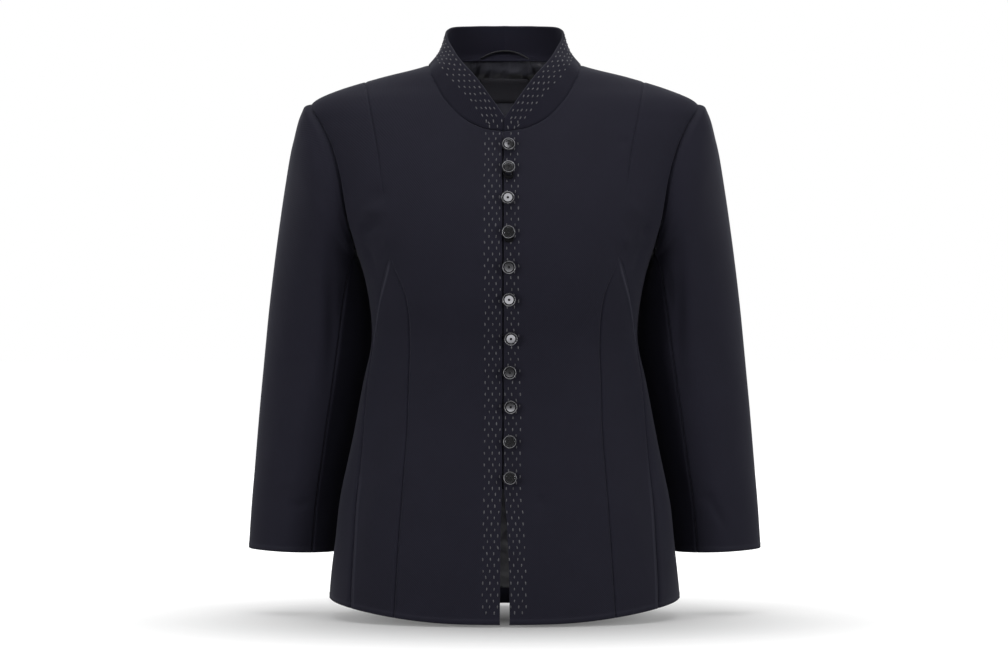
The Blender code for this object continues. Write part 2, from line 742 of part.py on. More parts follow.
def make_loops():
    """Loop tape inside the right front's centre edge, with a loop out through the slit per button."""
    heights = steps(TAPE_BOTTOM, TAPE_TOP, TAPE_ROWS)
    middle = (read(CENTRE_EDGES, "right", heights) + read(CENTRE_EDGES, "left", heights)) / 2
    near, far = middle + CORD_RADIUS, middle + CORD_RADIUS - TAPE_WIDTH
    chart = np.stack(
        [curve(front_angle(edge, heights), heights) for edge in (far, middle - TAPE_WIDTH / 2, near)], 1
    )
    tape = cloth("button_loops", [on_torso(chart, 1, TAPE_THICK, -BODY_CLOTH - TAPE_GAP)], "cord")
    paths = []
    for _, seat, across_way, up_way, out, _, _ in button_frames():
        slit = float(read(CENTRE_EDGES, "right", seat.z) + read(CENTRE_EDGES, "left", seat.z)) / 2
        paths.append(loop_path(seat, across_way, up_way, out, slit))
    cords = bpy.data.objects.new("loop_cords", wire("loop_cords", paths, CORD_RADIUS, "cord"))
    helper_collection.objects.link(cords)
    cords.hide_render = True
    cords.display_type = "WIRE"
    join = tape.modifiers.new("loops", "BOOLEAN")
    join.operation = "UNION"
    join.solver = "EXACT"
    join.object = cords


for old in list(bpy.data.objects):
    bpy.data.objects.remove(old, do_unlink=True)
part_collection = bpy.data.collections.new("suit_jacket")
helper_collection = bpy.data.collections.new("helpers")
bpy.context.scene.collection.children.link(part_collection)
bpy.context.scene.collection.children.link(helper_collection)
root = bpy.data.objects.new("jacket_frame", None)
part_collection.objects.link(root)
materials = {name: make_material(name) for name in MATERIALS}

make_body()
make_sleeves()
make_collar()
make_lining()
make_label()
make_hanger()
make_buttons()
make_loops()
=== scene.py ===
# Suit jacket with a stand collar, filled out as if worn. Metres, +Z up, front towards -Y, wearer's left +X.
import math

import bpy
import numpy as np
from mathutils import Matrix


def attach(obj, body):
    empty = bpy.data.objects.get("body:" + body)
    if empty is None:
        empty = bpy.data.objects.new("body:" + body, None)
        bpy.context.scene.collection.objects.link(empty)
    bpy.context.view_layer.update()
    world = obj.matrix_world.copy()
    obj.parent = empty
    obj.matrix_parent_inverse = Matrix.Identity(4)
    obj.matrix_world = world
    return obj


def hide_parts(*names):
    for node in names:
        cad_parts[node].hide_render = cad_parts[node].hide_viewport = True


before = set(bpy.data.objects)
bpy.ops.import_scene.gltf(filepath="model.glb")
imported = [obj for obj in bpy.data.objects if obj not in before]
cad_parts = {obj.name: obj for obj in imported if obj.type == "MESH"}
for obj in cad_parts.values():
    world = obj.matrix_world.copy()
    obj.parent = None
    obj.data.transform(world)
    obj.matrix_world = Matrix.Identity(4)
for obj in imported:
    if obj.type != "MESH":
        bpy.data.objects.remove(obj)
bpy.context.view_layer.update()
print("frame:", len(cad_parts), "nodes")

# sizes of the cut, the same as in the solids
cut = {
    "seamGap": 0.0003,
    "bodyCloth": 0.002,
    "sleeveCloth": 0.0018,
    "collarCloth": 0.0026,
    "liningCloth": 0.001,
    "liningGap": 0.0012,
    "labelGap": 0.0012,
    "shoulderDartTop": -0.0187,
    "shoulderTip": -0.043,
    "bustPoint": -0.2126,
    "underarm": -0.207,
    "underarmOnLine": -0.205,
    "bustDartEnd": -0.318,
    "hemFront": -0.602,
    "hemSideRise": 0.018,
    "armholeAhead": 0.056,
    "armholeBehind": 0.062,
    "armholeSag": 0.022,
    "sleevePower": 2.2,
    "lowSleevePower": 1.75,
    "sleevePowerRings": 5,
}
# the wearer's two sides, as the sign of X
sideSigns = {"right": -1, "left": 1}
# distance within which two places count as one, and the step by which a surface's directions are taken
tolerance, nudge = 1e-6, 1e-4


# rows of a short table as named columns, sorted by the first column
def tableOf(names, *rows):
    values = np.array(sorted(rows), float)
    return dict(zip(names.split(), values.T))


torsoForm = tableOf(
    "height halfWidth front back frontPower backPower",
    (0.03, 0.064, 0.035, 0.06, 2.0, 2.0),
    (0.0125, 0.076, 0.04, 0.068, 2.0, 2.0),
    (0.0, 0.0835, 0.044, 0.074, 2.0, 2.0),
    (-0.0143, 0.1367, 0.05, 0.081, 2.0, 2.0),
    (-0.0275, 0.1804, 0.056, 0.086, 2.0, 2.0),
    (-0.0385, 0.2065, 0.062, 0.0895, 2.1, 2.1),
    (-0.05, 0.2165, 0.068, 0.0925, 2.2, 2.2),
    (-0.068, 0.215, 0.077, 0.097, 2.3, 2.3),
    (-0.09, 0.208, 0.0875, 0.101, 2.4, 2.4),
    (-0.13, 0.1945, 0.1045, 0.105, 2.5, 2.4),
    (-0.17, 0.18, 0.118, 0.104, 2.6, 2.4),
    (-0.207, 0.1625, 0.125, 0.1, 2.6, 2.4),
    (-0.258, 0.149, 0.1235, 0.092, 2.5, 2.3),
    (-0.3, 0.146, 0.1145, 0.086, 2.3, 2.2),
    (-0.346, 0.1548, 0.1085, 0.0855, 2.3, 2.2),
    (-0.39, 0.163, 0.109, 0.091, 2.3, 2.2),
    (-0.434, 0.172, 0.113, 0.0985, 2.3, 2.2),
    (-0.478, 0.181, 0.117, 0.105, 2.3, 2.2),
    (-0.522, 0.186, 0.1205, 0.11, 2.3, 2.2),
    (-0.566, 0.191, 0.1235, 0.1135, 2.3, 2.2),
    (-0.62, 0.1945, 0.1265, 0.116, 2.3, 2.2),
)
collarForm = tableOf(
    "seamAngle seamHeight topAngle topRadius topHeight",
    (0.0, -0.0789, 0.0, 0.082, -0.065),
    (18.0, -0.0738, 9.5, 0.0808, -0.046),
    (33.4, -0.0612, 20.0, 0.0765, -0.0275),
    (45.8, -0.0434, 30.5, 0.0722, -0.0135),
    (58.0, -0.0229, 43.0, 0.0683, -0.002),
    (66.0, -0.0108, 51.5, 0.0668, 0.006),
    (75.0, -0.0035, 61.0, 0.0647, 0.0135),
    (90.0, 0.0, 77.0, 0.0642, 0.0245),
    (105.0, 0.0045, 92.0, 0.0657, 0.0345),
    (120.0, 0.0078, 108.0, 0.0655, 0.042),
    (150.0, 0.0115, 144.0, 0.0592, 0.0475),
    (180.0, 0.0125, 180.0, 0.055, 0.0487),
)
frontSeam = tableOf(
    "height across",
    (-0.602, 0.1183),
    (-0.538, 0.1146),
    (-0.456, 0.1089),
    (-0.4, 0.1047),
    (-0.35, 0.1033),
    (-0.308, 0.1021),
    (-0.26, 0.1056),
    (-0.2126, 0.1222),
    (-0.1454, 0.1303),
    (-0.1007, 0.1362),
    (-0.0651, 0.1434),
    (-0.0187, 0.1528),
)
sideSeamForm = tableOf(
    "height angle",
    (-0.62, 65.0),
    (-0.5746, 66.5),
    (-0.4433, 70.0),
    (-0.318, 79.0),
    (-0.207, 90.0),
)
centreEdges = tableOf(
    "height right left",
    (-0.62, -0.0056, 0.0053),
    (-0.546, -0.0048, 0.0046),
    (-0.497, -0.0042, 0.0022),
    (-0.455, -0.0028, -0.0008),
    (-0.42, -0.0027, -0.0009),
    (-0.05, -0.0027, -0.0009),
)
sleeveForm = tableOf(
    "ring outerX outerZ innerX innerZ frontY backY sag armhole frontSeam backSeam",
    (0, 0.2114, -0.043, 0.1625, -0.207, -0.056, 0.062, 0.022, 1.0, 160, 240),
    (1, 0.2195, -0.0478, 0.1628, -0.2098, -0.0575, 0.066, 0.02, 0.72, 157, 240),
    (2, 0.2264, -0.0605, 0.161, -0.215, -0.0585, 0.07, 0.017, 0.45, 152, 240),
    (3, 0.2323, -0.0825, 0.159, -0.2215, -0.058, 0.074, 0.013, 0.22, 146, 239),
    (4, 0.2374, -0.1045, 0.1566, -0.229, -0.056, 0.0765, 0.009, 0.07, 141, 239),
    (5, 0.2451, -0.1485, 0.1526, -0.244, -0.051, 0.079, 0.004, 0.0, 132, 238),
    (6, 0.2515, -0.1925, 0.1491, -0.26, -0.044, 0.0805, 0.001, 0.0, 125, 238),
    (7, 0.26, -0.2585, 0.1454, -0.288, -0.034, 0.0815, 0.0, 0.0, 117, 237),
    (8, 0.2649, -0.3025, 0.1456, -0.315, -0.028, 0.081, 0.0, 0.0, 114, 237),
    (9, 0.269, -0.3465, 0.1532, -0.353, -0.0245, 0.0795, 0.0, 0.0, 115, 236),
    (10, 0.2729, -0.3905, 0.162, -0.3955, -0.0225, 0.077, 0.0, 0.0, 116, 236),
    (11, 0.2767, -0.4345, 0.171, -0.4385, -0.0208, 0.074, 0.0, 0.0, 118, 236),
    (12, 0.2803, -0.4785, 0.18, -0.482, -0.0192, 0.0708, 0.0, 0.0, 120, 236),
    (13, 0.2837, -0.532, 0.1878, -0.536, -0.0175, 0.067, 0.0, 0.0, 123, 236),
)


# share kept between 0 and 1
def clamped(share):
    return np.clip(share, 0, 1)


# smooth step of a share: slow at both ends
def smooth(share):
    return share * share * (3 - 2 * share)


# bell: 1 in the middle, falling off with the square of the distance over the width
def bell(distance, width):
    return np.exp(-((distance / width) ** 2))


# directions divided by their lengths
def unitOf(ways):
    return ways / np.linalg.norm(ways, axis=-1, keepdims=True)


# length along a line up to each of its points: the sum of the steps so far
def runOf(line):
    return np.concatenate([[0.0], np.cumsum(np.linalg.norm(np.diff(line, axis=0), axis=1))])


# straight blend between two values by a share
def between(first, last, share):
    return first + (last - first) * np.asarray(share, float)


# cubic through a table's column: a smooth step between two rows plus their slopes, faded at both ends
def readColumn(rows, name, at):
    knots, values = next(iter(rows.values())), rows[name]
    slopes = np.gradient(values, knots)
    at = np.asarray(at, float)
    i = np.clip(np.searchsorted(knots, at) - 1, 0, len(knots) - 2)
    span = knots[i + 1] - knots[i]
    t = clamped((at - knots[i]) / span)
    start = between(values[i], values[i + 1], smooth(t))
    return start + span * t * (1 - t) * ((1 - t) * slopes[i] - t * slopes[i + 1])


# one value of the torso's form at a height
def torsoAt(name, height):
    return readColumn(torsoForm, name, height)


# depth and power of the torso's oval at a height, ahead of the side or behind it
def ovalAt(ahead, height):
    ends = ("", "Power")
    return [np.where(ahead >= 0, torsoAt("front" + e, height), torsoAt("back" + e, height)) for e in ends]


# torso point: a rounded oval at each height, deeper ahead or behind, met at an angle from the centre front
def torsoPoint(angle, height):
    ahead = np.cos(angle)
    depth, power = ovalAt(ahead, height)
    wide = np.abs(np.sin(angle)) / torsoAt("halfWidth", height)
    radius = (wide**power + (np.abs(ahead) / depth) ** power) ** (-1 / power)
    return np.stack([radius * np.sin(angle), -radius * ahead, height + 0 * angle], -1)


# torso points of a chart, whose pairs are an angle and a height
def onTorso(chart):
    return torsoPoint(chart[..., 0], chart[..., 1])


# factors that turn a point of the left half into one of the given side: X times the sign
def flipOf(side):
    return np.array([side, 1.0, 1.0])


# outward direction: cross product of the surface's two directions, at unit length
def outwardOf(surface, u, v, step=nudge):
    along = surface(u + step, v) - surface(u - step, v)
    upward = surface(u, v + step) - surface(u, v - step)
    return unitOf(np.cross(along, upward))


# angle of the torso point that lies a distance across on the front, from the oval's own equation
def frontAngle(across, height):
    power = torsoAt("frontPower", height)
    share = clamped(np.abs(across) / torsoAt("halfWidth", height))
    return np.arctan2(across, torsoAt("front", height) * (1 - share**power) ** (1 / power))


# angle of the torso point that lies a depth ahead of the side, or behind it
def depthAngle(ahead, height):
    depth, power = ovalAt(ahead, height)
    share = (1 - (np.abs(ahead) / depth) ** power) ** (1 / power)
    return np.arctan2(torsoAt("halfWidth", height) * share, ahead)


# hem height: level in front and behind, raised at the sides by the fourth power of the sine
def hemHeight(angle):
    return cut["hemFront"] + cut["hemSideRise"] * np.sin(angle) ** 4


# armhole: an upright oval on the torso, 0 at the shoulder tip, a quarter turn ahead, a half turn underarm
def armholeLine(turn):
    middle = (cut["shoulderTip"] + cut["underarm"]) / 2
    half = (cut["shoulderTip"] - cut["underarm"]) / 2
    height = middle + half * np.cos(turn) - cut["armholeSag"] * np.sin(turn) ** 2
    reach = np.where(np.sin(turn) >= 0, cut["armholeAhead"], cut["armholeBehind"])
    return np.stack([depthAngle(reach * np.sin(turn), height), height], -1)


# pairs of angle and height, made equally long
def chartOf(angle, height):
    angle, height = np.broadcast_arrays(angle, height)
    return np.stack([angle, height], -1).astype(float)


# shares from 0 to 1 that lie closer together towards both ends, by a cosine
def eased(count, ends=0.75):
    share = np.linspace(0, 1, count + 1)
    return share * (1 - ends) + (1 - np.cos(np.pi * share)) / 2 * ends


# the same shares with the nearest one moved onto a corner
def cornered(share, *corners):
    share = share.copy()
    for corner in corners:
        share[np.argmin(np.abs(share - corner))] = corner
    return share


# front seam and, above the bust, the shoulder dart: the table's distance across at each height
def frontLine(heights):
    return chartOf(frontAngle(readColumn(frontSeam, "across", heights), heights), heights)


# side seam: the table's angle at each height
def sideLine(heights):
    return chartOf(np.radians(readColumn(sideSeamForm, "angle", heights)), heights)


# distance across of one front's centre edge, towards that front's own side
def edgeAcross(heights, side):
    return side * readColumn(centreEdges, "left" if side > 0 else "right", heights)


# centre edge of one front: the angle of its distance across
def edgeLine(heights, side):
    return chartOf(frontAngle(edgeAcross(heights, side), heights), heights)


# height of the neck seam at an angle to either side
def neckHeight(angle):
    return readColumn(collarForm, "seamHeight", np.degrees(np.abs(angle)))


# neck seam: its height at each angle
def neckLine(angles):
    return chartOf(angles, neckHeight(angles))


# hem between two angles
def hemLine(first, last, share):
    angles = between(first, last, share)
    return chartOf(angles, hemHeight(angles))


# height where a seam meets the hem, by putting the hem's height back into the seam a few times
def footOf(line):
    height = np.array(cut["hemFront"])
    for turn in range(8):
        height = hemHeight(line(height)[..., 0])
    return float(height)


# grid between four seams: opposite sides blended, less the blend of the four corners
def patchOf(bottom, top, left, right, u, v):
    u, v = u[None, :, None], v[:, None, None]
    across = left[:, None] * (1 - u) + right[:, None] * u
    upward = bottom[None] * (1 - v) + top[None] * v
    low = bottom[0] * (1 - u) + bottom[-1] * u
    high = top[0] * (1 - u) + top[-1] * u
    return across + upward - (low * (1 - v) + high * v)


lineFoot, sideFoot = footOf(frontLine), footOf(sideLine)
neckFront, neckBack = float(neckHeight(0.0)), float(neckHeight(math.pi))
# cells of the panels' grids, how far the back's are eased, and points along each seam
grids = {
    "low": 110, "high": 96, "front": 46, "side": 26, "back": 116, "backLow": 110, "backHigh": 76,
    "backEase": 0.5, "seam": 70,
}
# shares of the panels' edges where a seam ends
corners = {"neck": 0.8, "arm": 0.25, "backDart": 1 / 3, "backNeck": 7 / 15}


# dart from the bust point to the side seam, straight in angle and height
def bustDart(share):
    start, end = frontLine(np.array(cut["bustPoint"])), sideLine(np.array(cut["bustDartEnd"]))
    return between(start, end, np.asarray(share)[:, None])


# heights up the line above the bust: a share under the arm, the rest along the armhole
def upperHeights(share):
    arm = corners["arm"]
    under = between(cut["bustPoint"], cut["underarmOnLine"], clamped(share / arm))
    along = between(cut["underarmOnLine"], cut["shoulderDartTop"], (share - arm) / (1 - arm))
    return np.where(share <= arm, under, along)


# front: one grid below the bust, one above it and one at the side above the bust dart
def frontCharts(side):
    neck, arm = corners["neck"], corners["arm"]
    u, out = cornered(eased(grids["front"]), neck), eased(grids["side"])
    low, high = eased(grids["low"]), cornered(eased(grids["high"]), arm)
    lowEdge = edgeLine(between(hemHeight(0.0), cut["bustPoint"], low), side)
    highEdge = edgeLine(between(cut["bustPoint"], neckFront, high), side)
    lowSeam = frontLine(between(lineFoot, cut["bustPoint"], low))
    highSeam = frontLine(upperHeights(high))
    bustRow = chartOf(between(lowEdge[-1, 0], lowSeam[-1, 0], u), cut["bustPoint"])
    neckPart = neckLine(between(highEdge[-1, 0], math.pi / 2, np.minimum(u / neck, 1)))
    shoulderPart = chartOf(math.pi / 2, between(0.0, cut["shoulderDartTop"], (u - neck) / (1 - neck)))
    top = np.where((u <= neck)[:, None], neckPart, shoulderPart)
    sidePart = sideLine(between(cut["bustDartEnd"], cut["underarm"], np.minimum(high / arm, 1)))
    armPart = armholeLine(np.radians(between(180, 0, np.maximum(high - arm, 0) / (1 - arm))))
    outerEdge = np.where((high <= arm)[:, None], sidePart, armPart)
    shoulderOut = chartOf(math.pi / 2, between(cut["shoulderDartTop"], cut["shoulderTip"], out))
    return [
        patchOf(hemLine(lowEdge[0, 0], lowSeam[0, 0], u), bustRow, lowEdge, lowSeam, u, low),
        patchOf(bustRow, top, highEdge, highSeam, u, high),
        patchOf(bustDart(out), shoulderOut, highSeam, outerEdge, out, high),
    ]


# side front: between the front seam and the side seam, from the hem up to the bust dart
def sideFrontCharts():
    u, v = eased(grids["side"]), eased(grids["low"])
    seam = frontLine(between(lineFoot, cut["bustPoint"], v))
    edge = sideLine(between(sideFoot, cut["bustDartEnd"], v))
    return [patchOf(hemLine(seam[0, 0], edge[0, 0], u), bustDart(u), seam, edge, u, v)]


# back: half of it from the side seam to the centre in two grids, and the mirror image of both
def backCharts():
    dart, neck = corners["backDart"], corners["backNeck"]
    u = cornered(eased(grids["back"] // 2, grids["backEase"]), dart, neck)
    low, high = eased(grids["backLow"]), eased(grids["backHigh"])
    sideEdge = sideLine(between(sideFoot, cut["underarm"], low))
    centreLow = chartOf(math.pi, between(cut["hemFront"], cut["underarm"], low))
    centreHigh = chartOf(math.pi, between(cut["underarm"], neckBack, high))
    middle = chartOf(between(math.pi / 2, math.pi, u), cut["underarm"])
    outer = between(cut["shoulderTip"], cut["shoulderDartTop"], u / dart)
    inner = between(cut["shoulderDartTop"], 0.0, (u - dart) / (neck - dart))
    shoulderPart = chartOf(math.pi / 2, np.where(u <= dart, outer, np.minimum(inner, 0)))
    neckPart = neckLine(between(math.pi / 2, math.pi, np.maximum(u - neck, 0) / (1 - neck)))
    top = np.where((u <= neck)[:, None], shoulderPart, neckPart)
    arm = armholeLine(np.radians(between(180, 360, high)))
    halves = [
        patchOf(hemLine(sideEdge[0, 0], math.pi, u), middle, sideEdge, centreLow, u, low),
        patchOf(middle, top, arm, centreHigh, u, high),
    ]
    mirror = [np.stack([2 * math.pi - h[:, ::-1, 0], h[:, ::-1, 1]], -1) for h in halves]
    return halves + mirror


# sleeve point: an oval ring plus the armhole's own outline, which fades out below the shoulder
def sleevePoint(turn, ring):
    value = {name: readColumn(sleeveForm, name, ring) for name in sleeveForm}
    fall = smooth(clamped(ring / cut["sleevePowerRings"]))
    power = between(cut["sleevePower"], cut["lowSleevePower"], fall)
    reach = (np.abs(np.cos(turn)) ** power + np.abs(np.sin(turn)) ** power) ** (-1 / power)
    out, ahead = np.cos(turn) * reach, np.sin(turn) * reach

    # oval of one row of the form: between its outer and inner, front and back places
    def oval(row):
        x, z = (between(row["inner" + axis], row["outer" + axis], (1 + out) / 2) for axis in "XZ")
        y = between(row["frontY"], row["backY"], (1 - ahead) / 2)
        return np.stack([x, y, z - row["sag"] * ahead**2], -1)

    departure = onTorso(armholeLine(turn)) - oval({n: c[0] for n, c in sleeveForm.items()})
    return oval(value) + value["armhole"][..., None] * departure


# turns of the sleeve's two seams at the armhole, and its last ring
frontTurn, backTurn = sleeveForm["frontSeam"][0], sleeveForm["backSeam"][0]
lastRing = sleeveForm["ring"][-1]


# turn of a sleeve's column: its turn at the armhole, carried along so that the two seams keep their place
def sleeveTurn(start, ring):
    front, back = readColumn(sleeveForm, "frontSeam", ring), readColumn(sleeveForm, "backSeam", ring)
    upper = np.where(start >= 0, start * front / frontTurn, start * (back - 360) / (backTurn - 360))
    under = between(front, back, (start - frontTurn) / (backTurn - frontTurn))
    return np.radians(np.where(start <= frontTurn, upper, under))


# collar point: a straight line from its seam on the torso to its upper edge
def collarPoint(angle, rise):
    at, names = np.degrees(np.abs(angle)), ("topAngle", "topRadius", "topHeight")
    turn, radius, height = (readColumn(collarForm, name, at) for name in names)
    turn = np.sign(angle) * np.radians(turn)
    top = np.stack([radius * np.sin(turn), -radius * np.cos(turn), height], -1)
    return between(torsoPoint(angle, neckHeight(angle)), top, np.asarray(rise)[..., None])


# quads of a grid of points, counter-clockwise seen from outside
def gridQuads(rows, columns, first=0):
    index = first + np.arange(rows * columns).reshape(rows, columns)
    quads = np.stack([index[:-1, :-1], index[:-1, 1:], index[1:, 1:], index[1:, :-1]], -1)
    return quads.reshape(-1, 4)


# several grids as one sheet: points that agree to a ten-millionth become one
def welded(charts):
    flat = np.concatenate([chart.reshape(-1, 2) for chart in charts])
    quads, first = [], 0
    for chart in charts:
        quads.append(gridQuads(*chart.shape[:2], first))
        first += chart.shape[0] * chart.shape[1]
    _, keep, place = np.unique(np.round(flat, 7), axis=0, return_index=True, return_inverse=True)
    return flat[keep], place.reshape(-1)[np.concatenate(quads)]


# mesh from points and quads, with a coordinate map in metres of cloth and painted light kept on its points
def meshOf(name, points, quads, cloth=None, paintedLight=None):
    mesh = bpy.data.meshes.new(name)
    mesh.vertices.add(len(points))
    mesh.vertices.foreach_set("co", np.asarray(points, np.float32).ravel())
    mesh.loops.add(quads.size)
    mesh.loops.foreach_set("vertex_index", quads.ravel().astype(np.int32))
    mesh.polygons.add(len(quads))
    mesh.polygons.foreach_set("loop_start", np.arange(0, quads.size, 4, dtype=np.int32))
    mesh.update(calc_edges=True)
    if cloth is not None:
        layer = mesh.uv_layers.new(name="cloth")
        layer.data.foreach_set("uv", np.asarray(cloth, np.float32)[quads.ravel()].ravel())
    if paintedLight is not None:
        paintedLightLayer = mesh.attributes.new("paintedLight", "FLOAT", "POINT")
        paintedLightLayer.data.foreach_set("value", np.asarray(paintedLight, np.float32))
    mesh.validate()
    mesh.shade_smooth()
    return mesh


# piece at the origin that rides on the jacket's one body and takes the place of its nodes
def addPiece(mesh, materials, slot=None, *nodes):
    piece = bpy.data.objects.new(mesh.name, mesh)
    bpy.context.scene.collection.objects.link(piece)
    for material in materials:
        mesh.materials.append(material)
    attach(piece, "root")
    if nodes:
        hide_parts(*nodes)
    return piece


# closed wall of cloth: outer points, the same moved in by the thickness, and a rim that is round where free;
# a turning or a lap carries inner points on under the neighbour's seam
def wallOf(
    name, points, normals, quads, thickness, free, cloth, relief=0.0, turning=0.0, paintedLight=None, lap=0.0
):
    edges = np.concatenate([quads[:, [i, (i + 1) % 4]] for i in range(4)])
    owner = np.tile(np.arange(len(quads)), 4)
    _, first, uses = np.unique(np.sort(edges, 1), axis=0, return_index=True, return_counts=True)
    rim, owner = edges[first[uses == 1]], owner[first[uses == 1]]
    a, b = rim.T
    middle = points[quads].mean(1)[owner] - points[rim].mean(1)
    along = unitOf(points[b] - points[a])
    middle = unitOf(middle - along * (middle * along).sum(1, keepdims=True))
    into = np.zeros_like(points)
    np.add.at(into, rim.ravel(), np.repeat(middle, 2, axis=0))
    into /= np.maximum(np.linalg.norm(into, axis=1, keepdims=True), 1e-9)
    points = points + into * cut["seamGap"] / 2
    outer = points + normals * np.reshape(relief, (-1, 1))
    aside = into * [1, 1, 0]  # the lap lies across an upright seam and leaves the hem alone
    under = normals * np.linalg.norm(aside, axis=1, keepdims=True) * pressing["lapDrop"]
    inner = points - normals * thickness + turning - (aside + under) * lap
    border = np.unique(rim)
    swell = free[border] * thickness * pressing["rimRound"]
    edge = (outer + inner)[border] / 2 - into[border] * swell[:, None]
    count = len(points)
    place = np.zeros(count, int)
    place[border] = 2 * count + np.arange(len(border))
    faces = np.concatenate([
        quads,
        quads[:, ::-1] + count,
        np.stack([b, a, place[a], place[b]], 1),
        np.stack([place[b], place[a], a + count, b + count], 1),
    ])
    if paintedLight is not None:
        paintedLight = np.concatenate([paintedLight, paintedLight, paintedLight[border]])
    cloth = np.concatenate([cloth, cloth, cloth[border]])
    return meshOf(name, np.concatenate([outer, inner, edge]), faces, cloth, paintedLight)


# shortest way from each point to a line, and the share of the line's length where that is
def alongLine(points, line):
    step, run = np.diff(line, axis=0), runOf(line)
    best, share = np.full(len(points), np.inf), np.zeros(len(points))
    for i in range(len(step)):
        t = clamped((points - line[i]) @ step[i] / (step[i] @ step[i]))
        gap = np.linalg.norm(points - line[i] - t[:, None] * step[i], axis=1)
        nearer = gap < best
        best = np.where(nearer, gap, best)
        share = np.where(nearer, between(run[i], run[i + 1], t) / run[-1], share)
    return best, share


# smooth line through a few points, many times finer: each stretch a cubic with its neighbours' slopes
def finer(points, count):
    points = np.asarray(points, float)
    rows = {"run": runOf(points), **dict(enumerate(points.T))}
    at = np.linspace(0, rows["run"][-1], count)
    return np.stack([readColumn(rows, i, at) for i in range(points.shape[1])], -1)


# relief of one line: a bell across it, times a fade along it from start to full and back
def lineRelief(points, line, height, width, fadeIn=0.0, fadeOut=0.0):
    reach = 4 * width
    near = np.all((points > line.min(0) - reach) & (points < line.max(0) + reach), axis=1)
    relief = np.zeros(len(points))
    if near.any():
        gap, share = alongLine(points[near], line)
        fade = np.ones(len(share))
        if fadeIn:
            fade *= clamped(share / fadeIn)
        if fadeOut:
            fade *= clamped((1 - share) / fadeOut)
        relief[near] = height * bell(gap, width) * smooth(fade)
    return relief


# relief and width of each seam, and the shares of its length over which it fades in and out
seams = {
    "front": (-0.0015, 0.0012, 0, 0.12),
    "side": (-0.0015, 0.0012, 0, 0),
    "bustDart": (-0.00018, 0.0009, 0.1, 0),
    "shoulder": (-0.0015, 0.0012, 0, 0),
    "armhole": (-0.0017, 0.0014, 0.12, 0.12),
    "neck": (-0.0007, 0.0012, 0, 0),
    "shoulderDart": (-0.0012, 0.0012, 0, 0.3),
}
# the same for the pressed turnings that show as low ridges, where 1 is the highest; the same share also
# paints the ridges lighter in the wool's colour, a painted highlight
ridges = {
    "bustDart": (1.0, 0.0011, 0.14, 0.1),
    "side": (0.45, 0.0011, 0, 0.5),
    "hem": (0.24, 0.0012, 0, 0),
}
# height of the highest ridge, place of each ridge beside its seam, and how edges are finished
pressing = {
    "ridge": 0.001, "hemFold": 0.004, "dartEnd": -0.16,
    "bustShift": (0.006, 0.001), "bustBow": 0.15, "bowMiddle": 0.5, "sideShift": 0.028, "sideTop": -0.4,
    "lap": 0.0025, "lapDrop": 0.3, "rimRound": 0.45, "slitTop": -0.088, "edgeRound": 0.3,
}


# seams and ridges of the left half as angles and heights; the bust dart's ridge is bowed by a sine times the
# distance from its middle, below the dart near the bust point and above it near the side
share = np.linspace(0, 1, grids["seam"])
bow = pressing["bustBow"] * np.sin(np.pi * share) * (share - pressing["bowMiddle"])
seamCharts = {
    "front": frontLine(between(lineFoot, cut["bustPoint"], share)),
    "side": sideLine(between(sideFoot, cut["underarm"], share)),
    "bustDart": bustDart(share),
    "shoulder": chartOf(math.pi / 2, between(0, cut["shoulderTip"], share)),
    "armhole": armholeLine(np.radians(between(0, 360, share))),
    "neck": neckLine(between(0, math.pi, share)),
    "shoulderDart": frontLine(between(cut["shoulderDartTop"], pressing["dartEnd"], share)),
}
ridgeCharts = {
    "bustDart": bustDart(share) - pressing["bustShift"] + chartOf(bow, 0),
    "side": sideLine(between(sideFoot, pressing["sideTop"], share)) - [pressing["sideShift"], 0],
    "hem": hemLine(0, math.pi, share) + [0, pressing["hemFold"]],
}

# soft creases of the body: three points as angle in degrees and height, then relief and width
bodyCreases = {
    "right": [
        (62, -0.15, 57, -0.148, 51, -0.147, -0.0017, 0.007),
        (65, -0.1655, 58, -0.1645, 50, -0.164, 0.0024, 0.006),
        (67, -0.192, 60, -0.183, 53, -0.179, -0.0032, 0.006),
        (53.5, -0.181, 52.6, -0.195, 52.5, -0.209, 0.0016, 0.006),
        (68, -0.186, 64, -0.21, 61, -0.24, -0.0022, 0.008),
        (40, -0.262, 38, -0.3, 39, -0.34, -0.001, 0.012),
        (24, -0.33, 32, -0.352, 40, -0.362, -0.0009, 0.009),
        (58, -0.42, 60, -0.5, 61, -0.56, 0.0015, 0.012),
        (100, -0.29, 118, -0.306, 136, -0.304, -0.0044, 0.01),
        (108, -0.33, 126, -0.338, 146, -0.33, -0.003, 0.009),
        (120, -0.215, 132, -0.18, 139, -0.14, -0.004, 0.011),
        (150, -0.35, 151, -0.45, 153, -0.56, 0.002, 0.018),
    ],
    "left": [
        (62, -0.164, 57, -0.163, 52, -0.161, 0.0015, 0.007),
        (66, -0.176, 63, -0.186, 60, -0.193, -0.003, 0.007),
        (54, -0.183, 54.2, -0.195, 54, -0.208, 0.002, 0.006),
        (67, -0.19, 63.5, -0.214, 61, -0.238, -0.002, 0.008),
        (61.5, -0.081, 59.8, -0.088, 57.5, -0.097, -0.0012, 0.005),
        (41, -0.268, 40, -0.3, 42, -0.335, -0.001, 0.012),
        (13, -0.4665, 18, -0.472, 23.5, -0.477, -0.0012, 0.005),
        (57, -0.44, 59, -0.51, 60, -0.57, 0.0015, 0.012),
        (102, -0.3, 120, -0.312, 140, -0.318, -0.0041, 0.01),
        (106, -0.264, 122, -0.27, 138, -0.262, -0.003, 0.009),
        (118, -0.205, 130, -0.176, 138, -0.132, -0.0037, 0.011),
        (156, -0.37, 155, -0.47, 157, -0.57, 0.0019, 0.018),
    ],
}


